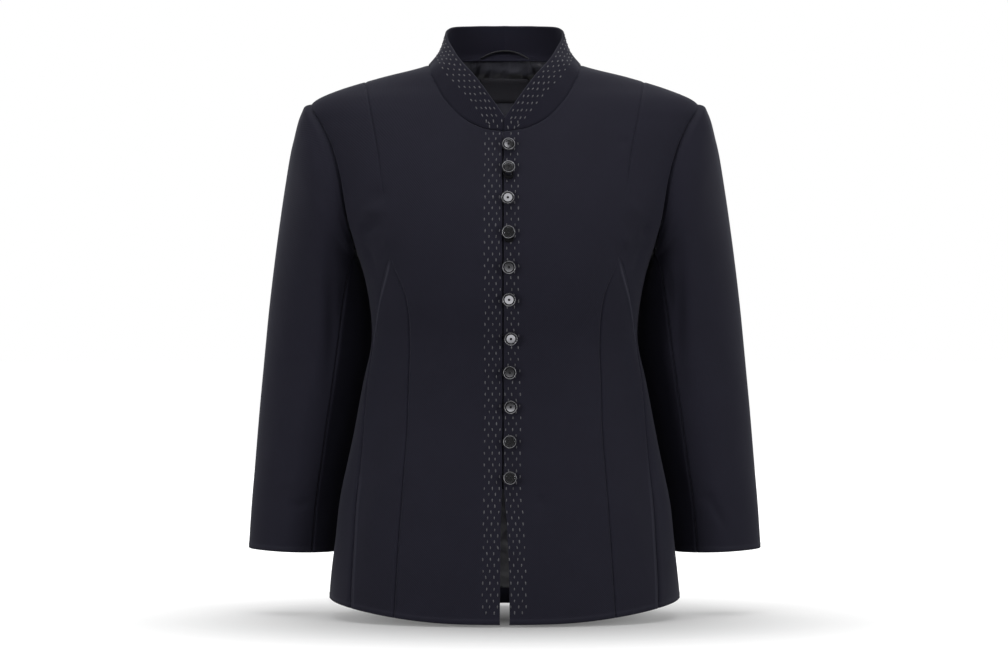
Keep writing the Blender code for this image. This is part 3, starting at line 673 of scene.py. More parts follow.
# strongest relief near each point of a set of lines on both halves, by the smallest or the largest
def strongest(pick, points, charts, forms):
    relief = np.zeros(len(points))
    for side in sideSigns.values():
        for name, chart in charts.items():
            relief = pick(relief, lineRelief(points, onTorso(chart) * flipOf(side), *forms[name]))
    return relief


creases = {"points": 24, "fade": 0.5, "swell": 0.00035, "waves": (41, 23, 37, -19)}


# fine line through a crease's few points, each an angle in degrees and a place along
def creaseLine(chart):
    return finer(np.reshape(chart, (-1, 2)) * [math.pi / 180, 1], creases["points"])


# creases and a slow swell: tapered bells along the crease lines plus the product of two long waves
def creaseRelief(points):
    x, y, z = points.T
    a, b, c, d = creases["waves"]
    relief = creases["swell"] * np.sin(x * a + z * b) * np.sin(z * c + y * d)
    for word, side in sideSigns.items():
        for *chart, height, width in bodyCreases[word]:
            line = onTorso(creaseLine(chart)) * flipOf(side)
            relief += lineRelief(points, line, height, width, creases["fade"], creases["fade"])
    return relief


# sum of the triangles' areas of one side of a wall
def areaOf(points, quads):
    a, b, c, d = (points[quads[:, i]] for i in range(4))
    return float(np.linalg.norm(np.cross(c - a, d - b), axis=1).sum() / 2)


# metres of cloth for each radian round the body, a sleeve and the collar, in the materials' map
clothScale = {"body": 0.15, "sleeve": 0.055, "collar": 0.07}


# panel of the body: a chart laid on the torso, creased, with grooves at its seams and round free edges; its
# ridges get a painted highlight, or a given shade gives painted shade
def bodyPanel(
    name, charts, side, thickness, lift=0.0, edged=False, grooved=True, extra=None, shade=None, lap=0.0
):
    chart, quads = welded(charts)
    angle, height = chart.T
    normals = outwardOf(torsoPoint, angle, height) * flipOf(side)
    points = onTorso(chart) * flipOf(side)
    moved = creaseRelief(points) + lift
    if extra:
        moved = moved + extra(angle, height)
    relief, paintedLight = 0.0, shade(angle, height) if shade else None
    if grooved:
        # painted highlight: the ridges' share is painted into the colour as well as raised
        paintedLight = strongest(np.maximum, points, ridgeCharts, ridges)
        relief = strongest(np.minimum, points, seamCharts, seams) + pressing["ridge"] * paintedLight
    free = (np.abs(height - hemHeight(angle)) < tolerance).astype(float)
    if edged:
        roundness = np.where(height < pressing["slitTop"], pressing["edgeRound"], 1.0)
        free = np.maximum(free, roundness * (np.abs(angle - edgeLine(height, side)[:, 0]) < tolerance))
    cloth = np.stack([side * angle * clothScale["body"], height], 1)
    quads = quads[:, ::side]
    placed = points + normals * moved[:, None]
    mesh = wallOf(name, placed, normals, quads, thickness, free, cloth, relief, paintedLight=paintedLight, lap=lap)
    return mesh, areaOf(points, quads)


# sockets set from a dictionary: another node's output is linked, any other value is put in
def wire(tree, node, sockets):
    for socket, value in sockets.items():
        if isinstance(value, bpy.types.NodeSocket):
            tree.links.new(value, node.inputs[socket])
        else:
            node.inputs[socket].default_value = value
    return node


# node of a material: its settings by name, then its sockets
def nodeOf(tree, kind, sockets=None, **settings):
    node = tree.nodes.new("ShaderNode" + kind)
    for name, value in settings.items():
        setattr(node, name, value)
    return wire(tree, node, sockets or {})


# result of a sum with sockets or numbers
def mathOf(tree, operation, *values):
    return nodeOf(tree, "Math", dict(enumerate(values)), operation=operation).outputs["Value"]


# noise of a scale on a coordinate
def noiseOf(tree, coordinate, scale, detail=2.0, distortion=0.0):
    sockets = {"Vector": coordinate, "Scale": scale, "Detail": detail, "Distortion": distortion}
    return nodeOf(tree, "TexNoise", sockets).outputs["Fac"]


# threads as bands on a coordinate: at a scale of 1 the wave's bands lie 0.314 apart
def bandsOf(tree, coordinate, pitch, direction, distortion=0.0, detailScale=1.0):
    sockets = {"Scale": 0.314 / pitch, "Distortion": distortion, "Detail Scale": detailScale}
    sockets["Vector"] = coordinate
    return nodeOf(tree, "TexWave", sockets, wave_type="BANDS", bands_direction=direction).outputs["Fac"]


# coordinate of a material in metres of cloth
def clothOf(tree):
    return nodeOf(tree, "UVMap", uv_map="cloth").outputs["UV"]


# coordinate of a material as the object's own place
def placeOf(tree):
    return nodeOf(tree, "TexCoord").outputs["Object"]


# material with one shader; base, roughness and the rest are set on its own sockets
def materialOf(name, colour, roughness, **sockets):
    material = bpy.data.materials.new(name)
    material.use_nodes = True
    tree = material.node_tree
    values = {socket.replace("_", " "): value for socket, value in sockets.items()}
    base = {"Base Color": (*colour, 1), "Roughness": roughness}
    return material, tree, wire(tree, tree.nodes["Principled BSDF"], {**base, **values})


# colour that drifts between two shades with a noise of some scale on a coordinate
def drift(tree, shader, coordinate, scale, dark, light, detail=3.0):
    noise = noiseOf(tree, coordinate, scale, detail)
    shades = {"Factor": noise, "A": (*dark, 1), "B": (*light, 1)}
    colour = nodeOf(tree, "Mix", shades, data_type="RGBA").outputs["Result"]
    wire(tree, shader, {"Base Color": colour})
    return noise, colour


# bump from a height between 0 and 1 over a distance in metres
def bumpFrom(tree, shader, height, distance, strength):
    bump = nodeOf(tree, "Bump", {"Height": height, "Distance": distance, "Strength": strength})
    wire(tree, shader, {"Normal": bump.outputs["Normal"]})


# base colour plus a tint times the cloth's painted light: a painted highlight above 0, painted shade below
# 0, as in a fold
def paintLight(tree, shader, colour, tint):
    paintedLight = nodeOf(tree, "Attribute", attribute_name="paintedLight").outputs["Fac"]
    shaded = nodeOf(tree, "VectorMath", {0: paintedLight, 1: tint, 2: colour}, operation="MULTIPLY_ADD")
    wire(tree, shader, {"Base Color": shaded.outputs["Vector"]})


wool = {
    "dark": (0.0122, 0.0117, 0.0205), "light": (0.0152, 0.0146, 0.0256), "drift": 26.0, "driftDetail": 4.0,
    "roughness": 0.8, "specular": 0.16,
    "sheen": 0.1, "sheenRoughness": 0.45, "sheenTint": (0.7, 0.72, 0.85, 1),
    "twillPitch": 0.0006, "twillDepth": 0.00014, "twillStrength": 0.35, "twillBreak": (1.2, 1.5),
    "fibres": 5200.0, "fibreShare": 0.6, "paintedLightTint": (0.031, 0.031, 0.039),
}


# wool twill: slanting ribs broken up by fine fibres, colour that drifts a little, and a light nap
def woolMaterial():
    material, tree, shader = materialOf(
        "woolTwill", wool["dark"], wool["roughness"], Specular_IOR_Level=wool["specular"],
        Sheen_Weight=wool["sheen"], Sheen_Roughness=wool["sheenRoughness"], Sheen_Tint=wool["sheenTint"],
    )
    cloth = clothOf(tree)
    shades = wool["drift"], wool["dark"], wool["light"], wool["driftDetail"]
    _, colour = drift(tree, shader, placeOf(tree), *shades)
    # painted light: ridges are painted lighter as a painted highlight, and the collar darker as painted
    # shade
    paintLight(tree, shader, colour, wool["paintedLightTint"])
    ribs = bandsOf(tree, cloth, 2 * wool["twillPitch"], "DIAGONAL", *wool["twillBreak"])
    height = mathOf(tree, "MULTIPLY_ADD", noiseOf(tree, cloth, wool["fibres"]), wool["fibreShare"], ribs)
    bumpFrom(tree, shader, height, wool["twillDepth"], wool["twillStrength"])
    return material


satin = {
    "dark": (0.024, 0.024, 0.031), "light": (0.037, 0.037, 0.047), "drift": 60.0,
    "roughness": 0.34, "specular": 0.55, "sheen": 0.05, "sheenRoughness": 0.3,
    "paintedShadeTint": (0.022, 0.022, 0.028), "crumple": (38.0, 1.0, 0.6), "depth": 0.0026,
    "threads": 0.003, "threadPitch": 0.00035, "threadBreak": 2.0,
}


# satin: smooth and lustrous, with fine threads across it, soft crumples and painted shade in its tucks
def satinMaterial():
    material, tree, shader = materialOf(
        "satinLining", satin["dark"], satin["roughness"], Specular_IOR_Level=satin["specular"],
        Sheen_Weight=satin["sheen"], Sheen_Roughness=satin["sheenRoughness"],
    )
    cloth = clothOf(tree)
    _, colour = drift(tree, shader, cloth, satin["drift"], satin["dark"], satin["light"])
    # painted shade: the lining's tucks are painted darker
    paintLight(tree, shader, colour, satin["paintedShadeTint"])
    threads = bandsOf(tree, cloth, satin["threadPitch"], "X", satin["threadBreak"])
    height = mathOf(tree, "MULTIPLY_ADD", threads, satin["threads"], noiseOf(tree, cloth, *satin["crumple"]))
    bumpFrom(tree, shader, height, satin["depth"], 1.0)
    return material


patchLook = {
    "base": (0.014, 0.0133, 0.0175), "dark": (0.012, 0.0113, 0.015), "light": (0.0175, 0.0168, 0.0215),
    "drift": 300.0, "roughness": 0.65, "specular": 0.3,
    "threadPitch": 0.0008, "depth": 0.00012, "strength": 0.5,
}


# patch: plain weave of two crossing sets of threads
def patchMaterial():
    material, tree, shader = materialOf(
        "wovenPatch", patchLook["base"], patchLook["roughness"], Specular_IOR_Level=patchLook["specular"]
    )
    cloth = clothOf(tree)
    drift(tree, shader, cloth, patchLook["drift"], patchLook["dark"], patchLook["light"])
    crossing = [bandsOf(tree, cloth, patchLook["threadPitch"], direction) for direction in "XY"]
    bumpFrom(tree, shader, mathOf(tree, "MAXIMUM", *crossing), patchLook["depth"], patchLook["strength"])
    return material


# shades, roughness, scale of the twist, specular level and sheen of each thread or cord
threads = {
    "paleThread": ((0.088, 0.088, 0.099), (0.13, 0.13, 0.142), 0.55, 2600.0, 0.35, 0.15),
    "darkCord": ((0.005, 0.005, 0.007), (0.01, 0.01, 0.013), 0.8, 2200.0, 0.35, 0.15),
    "loopCord": ((0.003, 0.003, 0.004), (0.006, 0.006, 0.008), 0.85, 2200.0, 0.12, 0.02),
}
twist = {"depth": 0.0002, "strength": 0.5, "detail": 2.0}


# thread or cord: a drifting shade with a fine twist in the bump, read in object coordinates
def threadMaterial(name, dark, light, roughness, scale, specular, sheen):
    levels = {"Specular_IOR_Level": specular, "Sheen_Weight": sheen}
    material, tree, shader = materialOf(name, dark, roughness, **levels)
    noise, _ = drift(tree, shader, placeOf(tree), scale, dark, light, twist["detail"])
    bumpFrom(tree, shader, noise, twist["depth"], twist["strength"])
    return material


# shades of the metal, roughness and shade of the face and of the rim, and its clouds and scratches
buttonLook = {
    "dark": (0.27, 0.27, 0.29), "light": (0.34, 0.34, 0.36), "metal": 0.95,
    "polishedFace": (0.12, 1.0), "buttonRim": (0.46, 1.25),
    "clouds": 260.0, "scratches": 700.0, "scratchDepth": 0.00005, "scratchStrength": 0.12,
}


# button: dark polished metal with faint clouding and hairline scratches; the rim is duller than the face
def buttonMaterial(name):
    roughness, shade = buttonLook[name]
    material, tree, shader = materialOf(name, buttonLook["dark"], roughness, Metallic=buttonLook["metal"])
    place = placeOf(tree)
    dark, light = (tuple(shade * v for v in buttonLook[k]) for k in ("dark", "light"))
    drift(tree, shader, place, buttonLook["clouds"], dark, light)
    scratch = noiseOf(tree, place, buttonLook["scratches"])
    bumpFrom(tree, shader, scratch, buttonLook["scratchDepth"], buttonLook["scratchStrength"])
    return material


woolCloth, satinCloth, patchCloth = woolMaterial(), satinMaterial(), patchMaterial()
buttonFace, buttonRim = buttonMaterial("polishedFace"), buttonMaterial("buttonRim")
paleThread, darkCord, loopCord = (threadMaterial(name, *look) for name, look in threads.items())
print("materials made")

sheets, sewn = {}, {}


# cloth piece that is also kept as a sheet, with the area of one of its sides
def addSheet(key, panel, material, slot, node):
    mesh, area = panel
    sheets[key] = addPiece(mesh, [material], slot, node), area


for word, side in sideSigns.items():
    ending = word.title() + "Cloth"
    panel = bodyPanel("front" + ending, frontCharts(side), side, cut["bodyCloth"], edged=True)
    addSheet(word + "Front", panel, woolCloth, "wool", "front_" + word)
    panel = bodyPanel("sideFront" + ending, sideFrontCharts(), side, cut["bodyCloth"], lap=pressing["lap"])
    addSheet(word + "SideFront", panel, woolCloth, "wool", "side_front_" + word)
addSheet("back", bodyPanel("backCloth", backCharts(), 1, cut["bodyCloth"]), woolCloth, "wool", "back")
print("body panels made")

# cells of the grids; then relief in metres, and places and widths in metres, rings or radians
sleeves = {
    "rows": 210, "rowEase": 0.6, "upper": 84, "under": 36, "linePoints": 90, "ringLength": 0.0535,
    "seam": (-0.0013, 0.0012), "armhole": (-0.0015, 0.0014), "armholeEase": 0.7,
    "headSwell": 0.0016, "headPlace": 0.007, "headWidth": 0.005, "headShares": (0.3, 0.5),
    "underSwell": 0.0012, "underWidth": 0.45, "underRing": 4.0, "underRings": 2.2,
    "underHollow": 0.0035, "hollowPower": 0.8, "hollowIn": (4, 3), "hollowOut": (14, 4),
    "ripple": 0.0003, "rippleWaves": (2.1, 2, 3, 0.4), "rippleRings": 3,
    "turning": 0.005, "turningDrop": 0.0012, "tuck": 0.0014, "hemPress": (0.24, 0.0014),
}
# sleeve creases: three points as turn in degrees and ring along the sleeve, then relief and width
sleeveCreases = {
    "right": [
        (106, 3.2, 104, 6.0, 110, 10.0, -0.0024, 0.007),
        (92, 3.8, 93, 6.0, 98, 9.5, 0.0016, 0.009),
        (124, 5.0, 118, 6.5, 112, 7.6, -0.0012, 0.005),
        (78, 11.9, 96, 12.05, 116, 11.9, -0.0017, 0.005),
        (66, 11.4, 84, 11.5, 98, 11.7, 0.0008, 0.006),
        (30, 8.2, 58, 8.6, 86, 8.3, -0.0009, 0.008),
        (-20, 7.5, -52, 7.9, -86, 7.4, -0.0032, 0.009),
        (-30, 9.2, -60, 9.0, -96, 9.5, -0.0027, 0.009),
    ],
    "left": [
        (104, 3.2, 102, 6.0, 108, 9.6, -0.0022, 0.007),
        (90, 3.8, 91, 6.0, 96, 9.5, 0.0016, 0.009),
        (122, 4.6, 116, 6.0, 112, 7.2, -0.0012, 0.005),
        (102, 11.7, 92, 12.1, 77, 12.7, -0.0019, 0.005),
        (114, 11.8, 100, 11.9, 86, 11.7, -0.0012, 0.005),
        (-18, 7.9, -50, 8.2, -88, 7.8, -0.0032, 0.009),
        (-34, 6.6, -62, 7.0, -92, 6.6, -0.0024, 0.009),
    ],
}


# swell of a sleeve: its head, the part below the underarm and a ripple, less a hollow behind the front seam
def sleeveSwell(turn, ring, fromArmhole):
    least, more = sleeves["headShares"]
    share = least + more * clamped(np.cos(turn))
    swell = sleeves["headSwell"] * share * bell(fromArmhole - sleeves["headPlace"], sleeves["headWidth"])
    below = bell(turn - math.pi, sleeves["underWidth"])
    below = below * bell(ring - sleeves["underRing"], sleeves["underRings"])
    seamAt = np.radians(readColumn(sleeveForm, "frontSeam", ring))
    behind = clamped((turn - seamAt) / (math.pi - seamAt))
    (start, fadeIn), (end, fadeOut) = sleeves["hollowIn"], sleeves["hollowOut"]
    hollow = np.sin(np.pi * behind ** sleeves["hollowPower"])
    hollow = hollow * clamped((ring - start) / fadeIn) * clamped((end - ring) / fadeOut)
    a, b, c, d = sleeves["rippleWaves"]
    ripple = np.sin(ring * a + turn * b) * np.sin(turn * c + d) * clamped(ring / sleeves["rippleRings"])
    swell += sleeves["underSwell"] * below - sleeves["underHollow"] * hollow
    return swell + sleeves["ripple"] * ripple


# sleeve piece: rings by turns between two seams, with a swollen head, seam grooves and creases, and a
# painted highlight on the fold at its hem
def sleevePanel(kind, word):
    side, columns = sideSigns[word], sleeves[kind]
    first, last = (backTurn - 360, frontTurn) if kind == "upper" else (frontTurn, backTurn)
    ring = lastRing * eased(sleeves["rows"], sleeves["rowEase"])[:, None] + np.zeros((1, columns + 1))
    turn = sleeveTurn(between(first, last, eased(columns))[None] + 0 * ring, ring)
    sheet = sleevePoint(turn, ring)
    outward = outwardOf(sleevePoint, turn, np.clip(ring, nudge, lastRing - nudge))
    lead = unitOf(sheet[1] - sheet[0])
    turning = np.zeros_like(sheet)
    turning[0] = -lead * sleeves["turning"] - outward[0] * sleeves["turningDrop"]
    if kind == "under":  # its turnings lie under the upper sleeve
        for edge, beside in ((0, 1), (-1, -2)):
            aside = unitOf(sheet[:, edge] - sheet[:, beside])
            turning[:, edge] += (aside - outward[:, edge] / 2) * sleeves["tuck"]
    quads = gridQuads(*ring.shape)[:, ::side]
    ring, turn = ring.ravel(), turn.ravel()
    points, normals, turning = (a.reshape(-1, 3) for a in (sheet, outward, turning))
    relief = np.zeros(len(points))
    rings = np.linspace(0, lastRing, sleeves["linePoints"])
    for seamTurn in (first, last):
        line = sleevePoint(sleeveTurn(seamTurn + 0 * rings, rings), rings)
        relief = np.minimum(relief, lineRelief(points, line, *sleeves["seam"]))
    hole = onTorso(armholeLine(np.radians(np.linspace(0, 360, sleeves["linePoints"]))))
    gap, _ = alongLine(points, hole)
    depth, width = sleeves["armhole"]
    groove = depth * (1 - sleeves["armholeEase"] * clamped(np.cos(turn))) * bell(gap, width)
    moved = sleeveSwell(turn, ring, gap)
    for *chart, height, width in sleeveCreases[word]:
        line = creaseLine(chart)
        crease = sleevePoint(line[:, 0], line[:, 1])
        moved += lineRelief(points, crease, height, width, creases["fade"], creases["fade"])
    # the hem's fold is raised, and painted lighter as a painted highlight
    press, width = sleeves["hemPress"]
    paintedLight = press * bell((lastRing - ring) * sleeves["ringLength"] - pressing["hemFold"], width)
    relief = np.minimum(relief, groove) + pressing["ridge"] * paintedLight
    cloth = np.stack([side * turn * clothScale["sleeve"], readColumn(sleeveForm, "outerZ", ring)], 1)
    free = (ring > lastRing - tolerance).astype(float)
    points = (points + normals * moved[:, None]) * flipOf(side)
    normals, turning = normals * flipOf(side), turning * flipOf(side)
    name = kind + "Sleeve" + word.title() + "Cloth"
    wall = points, normals, quads, cut["sleeveCloth"], free, cloth, relief, turning, paintedLight
    return wallOf(name, *wall), areaOf(points, quads)


for word in sideSigns:
    for kind in ("upper", "under"):
        node = kind + "_sleeve_" + word
        addSheet(word + kind.title() + "Sleeve", sleevePanel(kind, word), woolCloth, "wool", node)
print("sleeves made")

# grid of the collar, and its painted shade, which darkens its colour all over
collarLook = {
    "rows": 26, "rowEase": 0.6, "columns": 96, "columnEase": 0.4, "seamWidth": 0.0013,
    "turning": 0.0006, "ledge": 0.0024, "ledgeReach": 0.01, "shade": -0.09,
}


# collar: columns from the right end round the back to the left end, rows from seam to upper edge, as a wall
# with free ends and a free upper edge, drawn in behind the seam, and painted darker all over as painted
# shade
def collarPanel():
    share = eased(collarLook["columns"], collarLook["columnEase"])
    starts = [edgeLine(np.array(neckFront), side)[0] for side in sideSigns.values()]
    right, left = (between(start, math.pi, share) for start in starts)
    angle = np.concatenate([right, left[::-1][1:]])
    sign = np.where(np.arange(len(angle)) < len(right), -1.0, 1.0)
    rise = eased(collarLook["rows"], collarLook["rowEase"])[:, None] + 0 * angle[None]
    wide = angle[None] + 0 * rise
    flip = np.stack([sign, 1 + 0 * sign, 1 + 0 * sign], -1)[None]
    normals = outwardOf(collarPoint, wide, np.clip(rise, nudge, 1 - nudge))
    normals[np.abs(wide - math.pi) < 1e-9] *= [0, 1, 1]
    sheet, normals = collarPoint(wide, rise) * flip, unitOf(normals * flip).reshape(-1, 3)
    drop = sheet[0] - sheet[-1]
    length = np.linalg.norm(drop, axis=-1)
    fromSeam = rise * length
    relief = seams["neck"][0] * bell(fromSeam.ravel(), collarLook["seamWidth"])
    free = np.zeros(rise.shape)
    free[:, [0, -1]] = 1.0
    free[-1] = 1.0
    cloth = np.stack([sign * wide * clothScale["collar"], fromSeam], -1).reshape(-1, 2)
    ledge = clamped(1 - fromSeam.ravel() / collarLook["ledgeReach"])[:, None] ** 2
    turning = -normals * collarLook["ledge"] * ledge
    turning[: len(angle)] += drop / length[:, None] * collarLook["turning"]
    points, quads = sheet.reshape(-1, 3), gridQuads(*rise.shape)
    # painted shade: the whole collar's colour is painted darker by the shade in its look
    shade = np.full(len(points), collarLook["shade"])
    wall = points, normals, quads, cut["collarCloth"], free.ravel(), cloth, relief, turning, shade
    return wallOf("collarCloth", *wall), areaOf(points, quads)


addSheet("collar", collarPanel(), woolCloth, "wool", "collar")
print("collar made")

stitches = {
    "columns": (0.0027, 0.0066, 0.0105, 0.0144, 0.0184), "pitch": 0.01248, "first": 0.003, "last": 0.006,
    "length": 0.0032, "width": 0.0012, "rise": 0.0006, "sunk": 0.0001, "lift": 0.0001, "taper": 0.8,
    "grid": (5, 6), "lean": 0.07, "wander": 0.0004, "spread": 0.07,
    "edgeGap": 0.0012, "neckGap": 0.0028, "leftShift": (0.0031, 0.0012), "shiftHeights": (-0.3, -0.36),
    "collarColumns": (0.003, 0.0073, 0.0116, 0.0159, 0.0202), "collarPitch": 0.0097, "collarFirst": 0.005,
    "collarScale": 1.06, "mitre": (0.36, 0.0045), "collarSeamGap": 0.0025, "backGap": 0.02,
    "corner": (0.0048, 0.0104), "cornerReach": 0.5, "cornerRises": (0.05, 0.98), "cornerGrid": (160, 120),
    "cornerUp": (0.0, -0.15, 1.0), "frontSteps": 400, "collarSteps": 500, "ahead": 0.001, "turnAhead": 0.004,
    "seeds": {"right": 3, "left": 5, "collar": 7},
}


# one stitch as a small dome: its width narrows and its height falls off towards both ends
def stitchForm():
    rows, columns = stitches["grid"]
    along, across = np.meshgrid(np.linspace(-1, 1, columns), np.linspace(-1, 1, rows))
    narrow = np.sqrt(clamped(1 - stitches["taper"] * along**4))
    high = np.sqrt(clamped(1 - across**2)) * np.sqrt(clamped(1 - along**4))
    wide, long = across * narrow * stitches["width"] / 2, along * stitches["length"] / 2
    form = np.stack([wide, long, high * stitches["rise"] - stitches["sunk"]], -1)
    return form.reshape(-1, 3), gridQuads(rows, columns)[:, ::-1]


# many stitches as one mesh: the dome laid at each place along its two directions and outward
def stitchMesh(name, places, along, outward, seed, scale):
    form, quads = stitchForm()
    chance = np.random.default_rng(seed)
    along = unitOf(along)
    across = np.cross(along, outward)
    lean = chance.normal(0, stitches["lean"], len(places))[:, None]
    along, across = along + across * lean, across - along * lean
    places = places + across * chance.normal(0, stitches["wander"], len(places))[:, None]
    size = chance.normal(scale, stitches["spread"], (len(places), 1, 1))
    points = (
        places[:, None]
        + form[None, :, :1] * size * across[:, None]
        + form[None, :, 1:2] * size * along[:, None]
        + form[None, :, 2:] * outward[:, None]
    )
    shift = np.arange(len(places))[:, None, None] * len(form)
    return meshOf(name, points.reshape(-1, 3), (quads[None] + shift).reshape(-1, 4))


# rows of stitches at a pitch along a length, three and two by turns, as column distance and place along
def stitchRows(length, columns, pitch, first, last):
    runs = np.arange(first, length - last, pitch / 2)
    even, odd = runs[::2], runs[1::2]
    across = np.concatenate([np.repeat(columns[::2], len(even)), np.repeat(columns[1::2], len(odd))])
    return across, np.concatenate([np.tile(even, len(columns[::2])), np.tile(odd, len(columns[1::2]))])


# stitches on a front: rows down its centre edge from the neck, columns across from that edge
def frontStitches(side):
    heights = np.linspace(hemHeight(0.0), neckFront, stitches["frontSteps"])
    run = runOf(onTorso(edgeLine(heights, side)))
    rows = stitches["columns"], stitches["pitch"], stitches["first"], stitches["last"]
    across, along = stitchRows(run[-1], *rows)
    height = np.interp(run[-1] - along, run, heights)
    if side > 0:  # on the left front the columns lie nearer to its edge, most of all at the chest
        across = across - np.interp(height, stitches["shiftHeights"][::-1], stitches["leftShift"][::-1])
    height, across = (a[across > stitches["edgeGap"]] for a in (height, across))
    angle = frontAngle(edgeAcross(height, side) + across, height)
    above = height + stitches["ahead"]
    points, normals = torsoPoint(angle, height), outwardOf(torsoPoint, angle, height)
    upward = torsoPoint(frontAngle(edgeAcross(above, side) + across, above), above) - points
    keep = height < neckHeight(angle) - stitches["neckGap"]
    points, normals, upward = (a[keep] * flipOf(side) for a in (points, normals, upward))
    points += normals * (creaseRelief(points) + stitches["lift"])[:, None]
    return points, upward, normals


# stitches below the collar's corner, which carry the front's columns on: nearest points of a fine grid
def cornerStitches(start, side):
    corner = collarPoint(start, 1.0)
    columns = np.array(stitches["columns"]) - (stitches["leftShift"][0] if side > 0 else 0)
    level = corner[2] - np.where(np.arange(len(columns)) % 2, *stitches["corner"][::-1])
    wanted = np.stack([corner[0] + columns, level], -1)[columns > stitches["edgeGap"]]
    columns, rows = stitches["cornerGrid"]
    angles = np.linspace(start, start + stitches["cornerReach"], columns)
    grid = np.meshgrid(angles, np.linspace(*stitches["cornerRises"], rows))
    flat = collarPoint(*grid).reshape(-1, 3)[:, [0, 2]]
    nearest = np.argmin(((flat[None] - wanted[:, None]) ** 2).sum(-1), axis=1)
    nearest = nearest[np.linalg.norm(flat[nearest] - wanted, axis=1) < stitches["edgeGap"]]
    return grid[0].ravel()[nearest], grid[1].ravel()[nearest]


# stitches on half of the collar: rows along its upper edge, columns down from that edge, and the corner's
def collarStitches(side):
    start = float(edgeLine(np.array(neckFront), side)[0])
    angles = np.linspace(start, math.pi, stitches["collarSteps"])
    run = runOf(collarPoint(angles, np.ones(len(angles))))
    rows = stitches["collarColumns"], stitches["collarPitch"], stitches["collarFirst"], stitches["first"]
    across, along = stitchRows(run[-1], *rows)
    slope, offset = stitches["mitre"]
    keep = along > slope * across + offset
    across, angle = across[keep], np.interp(along[keep], run, angles)
    ones = np.ones(len(angle))
    length = np.linalg.norm(collarPoint(angle, ones) - collarPoint(angle, 0 * ones), axis=1)
    rise = 1 - across / length
    keep = (rise * length > stitches["collarSeamGap"]) & (angle < math.pi - stitches["backGap"])
    angle, rise, ones = angle[keep], rise[keep], ones[keep]
    onward = collarPoint(angle + stitches["turnAhead"], ones) - collarPoint(angle, ones)
    cornerAngle, cornerRise = cornerStitches(start, side)
    angle, rise = np.concatenate([angle, cornerAngle]), np.concatenate([rise, cornerRise])
    onward = np.concatenate([onward, np.tile(stitches["cornerUp"], (len(cornerAngle), 1))])
    points, normals = collarPoint(angle, rise), outwardOf(collarPoint, angle, rise)
    onward = onward - normals * (onward * normals).sum(1, keepdims=True)
    return tuple(a * flipOf(side) for a in (points, onward, normals))


# stitches sewn on a sheet, with their own seed and size
def addStitches(key, name, rows, seed, scale=1.0):
    sewn[key] = addPiece(stitchMesh(name, *rows, stitches["seeds"][seed], scale), [paleThread])
    print(name, len(rows[0]), "stitches")


for word, side in sideSigns.items():
    addStitches(word + "Front", "front" + word.title() + "Stitching", frontStitches(side), word)
rows = [np.concatenate(pair) for pair in zip(collarStitches(-1), collarStitches(1))]
addStitches("collar", "collarStitching", rows, "collar", stitches["collarScale"])

# below the neck seam: where the puff starts and over what height, its pleat and its tucks, whose halves,
# spread, edge and fade shape their painted shade; then the hem
lining = {
    "metresPerRadian": 0.072, "high": 0.0125, "fall": 0.018, "puff": 0.002, "puffPowers": (1.7, 1.5),
    "pleat": 0.001, "pleatWidth": 0.0016, "pleatShare": 0.75,
    "tucks": (-0.033, 0.03), "tuckWidth": 0.0032, "tuckLean": 0.25, "tuckMiddle": 0.004,
    "tuckHalves": (0.0008, 0.0042), "tuckSpread": 0.003, "tuckEdge": 0.001, "tuckFade": 0.1,
    "streak": 0.55, "streakWaves": (230, 1.0, 420, 120), "ripple": 0.0002, "rippleWaves": (520, 60),
    "hem": 0.019, "hemReach": 0.2, "drawnIn": 0.05, "sideAngle": 115,
}


# place on the lining: metres across from the centre back, and the share of the way down the puff
def liningPlace(angle, height):
    across = (angle - math.pi) * lining["metresPerRadian"]
    return across, clamped((lining["high"] - height) / lining["fall"])


# folds of the lining: it puffs out below the neck seam, cut by a pleat at the centre and a tuck to each side
def liningFolds(angle, height):
    across, down = liningPlace(angle, height)
    early, sharp = lining["puffPowers"]
    puff = np.sin(np.pi * down**early) ** sharp
    notch = lining["pleatShare"] * bell(across - lining["pleat"], lining["pleatWidth"])
    lean = lining["tuckLean"] * (height - lining["tuckMiddle"])
    for place in lining["tucks"]:
        notch = np.maximum(notch, bell(across - place - lean, lining["tuckWidth"]))
    a, b, c, d = lining["streakWaves"]
    streak = lining["streak"] * np.sin(across * a + b) * np.sin(height * c + across * d)
    a, b = lining["rippleWaves"]
    ripple = lining["ripple"] * np.sin(across * a + height * b)
    return -lining["puff"] * puff * (1 - notch) * (1 + streak) + ripple


# painted shade of the lining's tucks: triangles that open downwards on both sides of the neck, -1 in the
# fold
def paintedTuckShade(angle, height):
    across, down = liningPlace(angle, height)
    half = between(*lining["tuckHalves"], down)
    fade = clamped(down / lining["tuckFade"]) * clamped((1 - down) / lining["tuckFade"])
    shade = np.zeros(len(angle))
    for place in lining["tucks"]:
        away = np.abs(across - place - np.sign(place) * lining["tuckSpread"] * down)
        shade = np.minimum(shade, -clamped((half - away) / lining["tuckEdge"]) * fade)
    return shade


# lining: the back's own grids drawn in from the side seams by a share and raised above the hem
def liningCharts():
    charts = []
    for chart in backCharts():
        angle, height = chart[..., 0], chart[..., 1]
        away, hem = angle - math.pi, hemHeight(angle)
        side = np.degrees(np.arccos(np.clip(np.cos(away), -1, 1)))
        raised = hem + lining["hem"] * clamped(1 - (height - hem) / lining["hemReach"])
        drawn = math.pi + away * (1 - lining["drawnIn"] * (side / lining["sideAngle"]) ** 4)
        charts.append(np.stack([drawn, np.maximum(height, raised)], -1))
    return charts


inside = -cut["bodyCloth"] - cut["liningGap"]
panel = bodyPanel(
    "backLiningCloth", liningCharts(), 1, cut["liningCloth"], inside, grooved=False, extra=liningFolds,
    shade=paintedTuckShade,
)
addSheet("lining", panel, satinCloth, "satin", "back_lining")

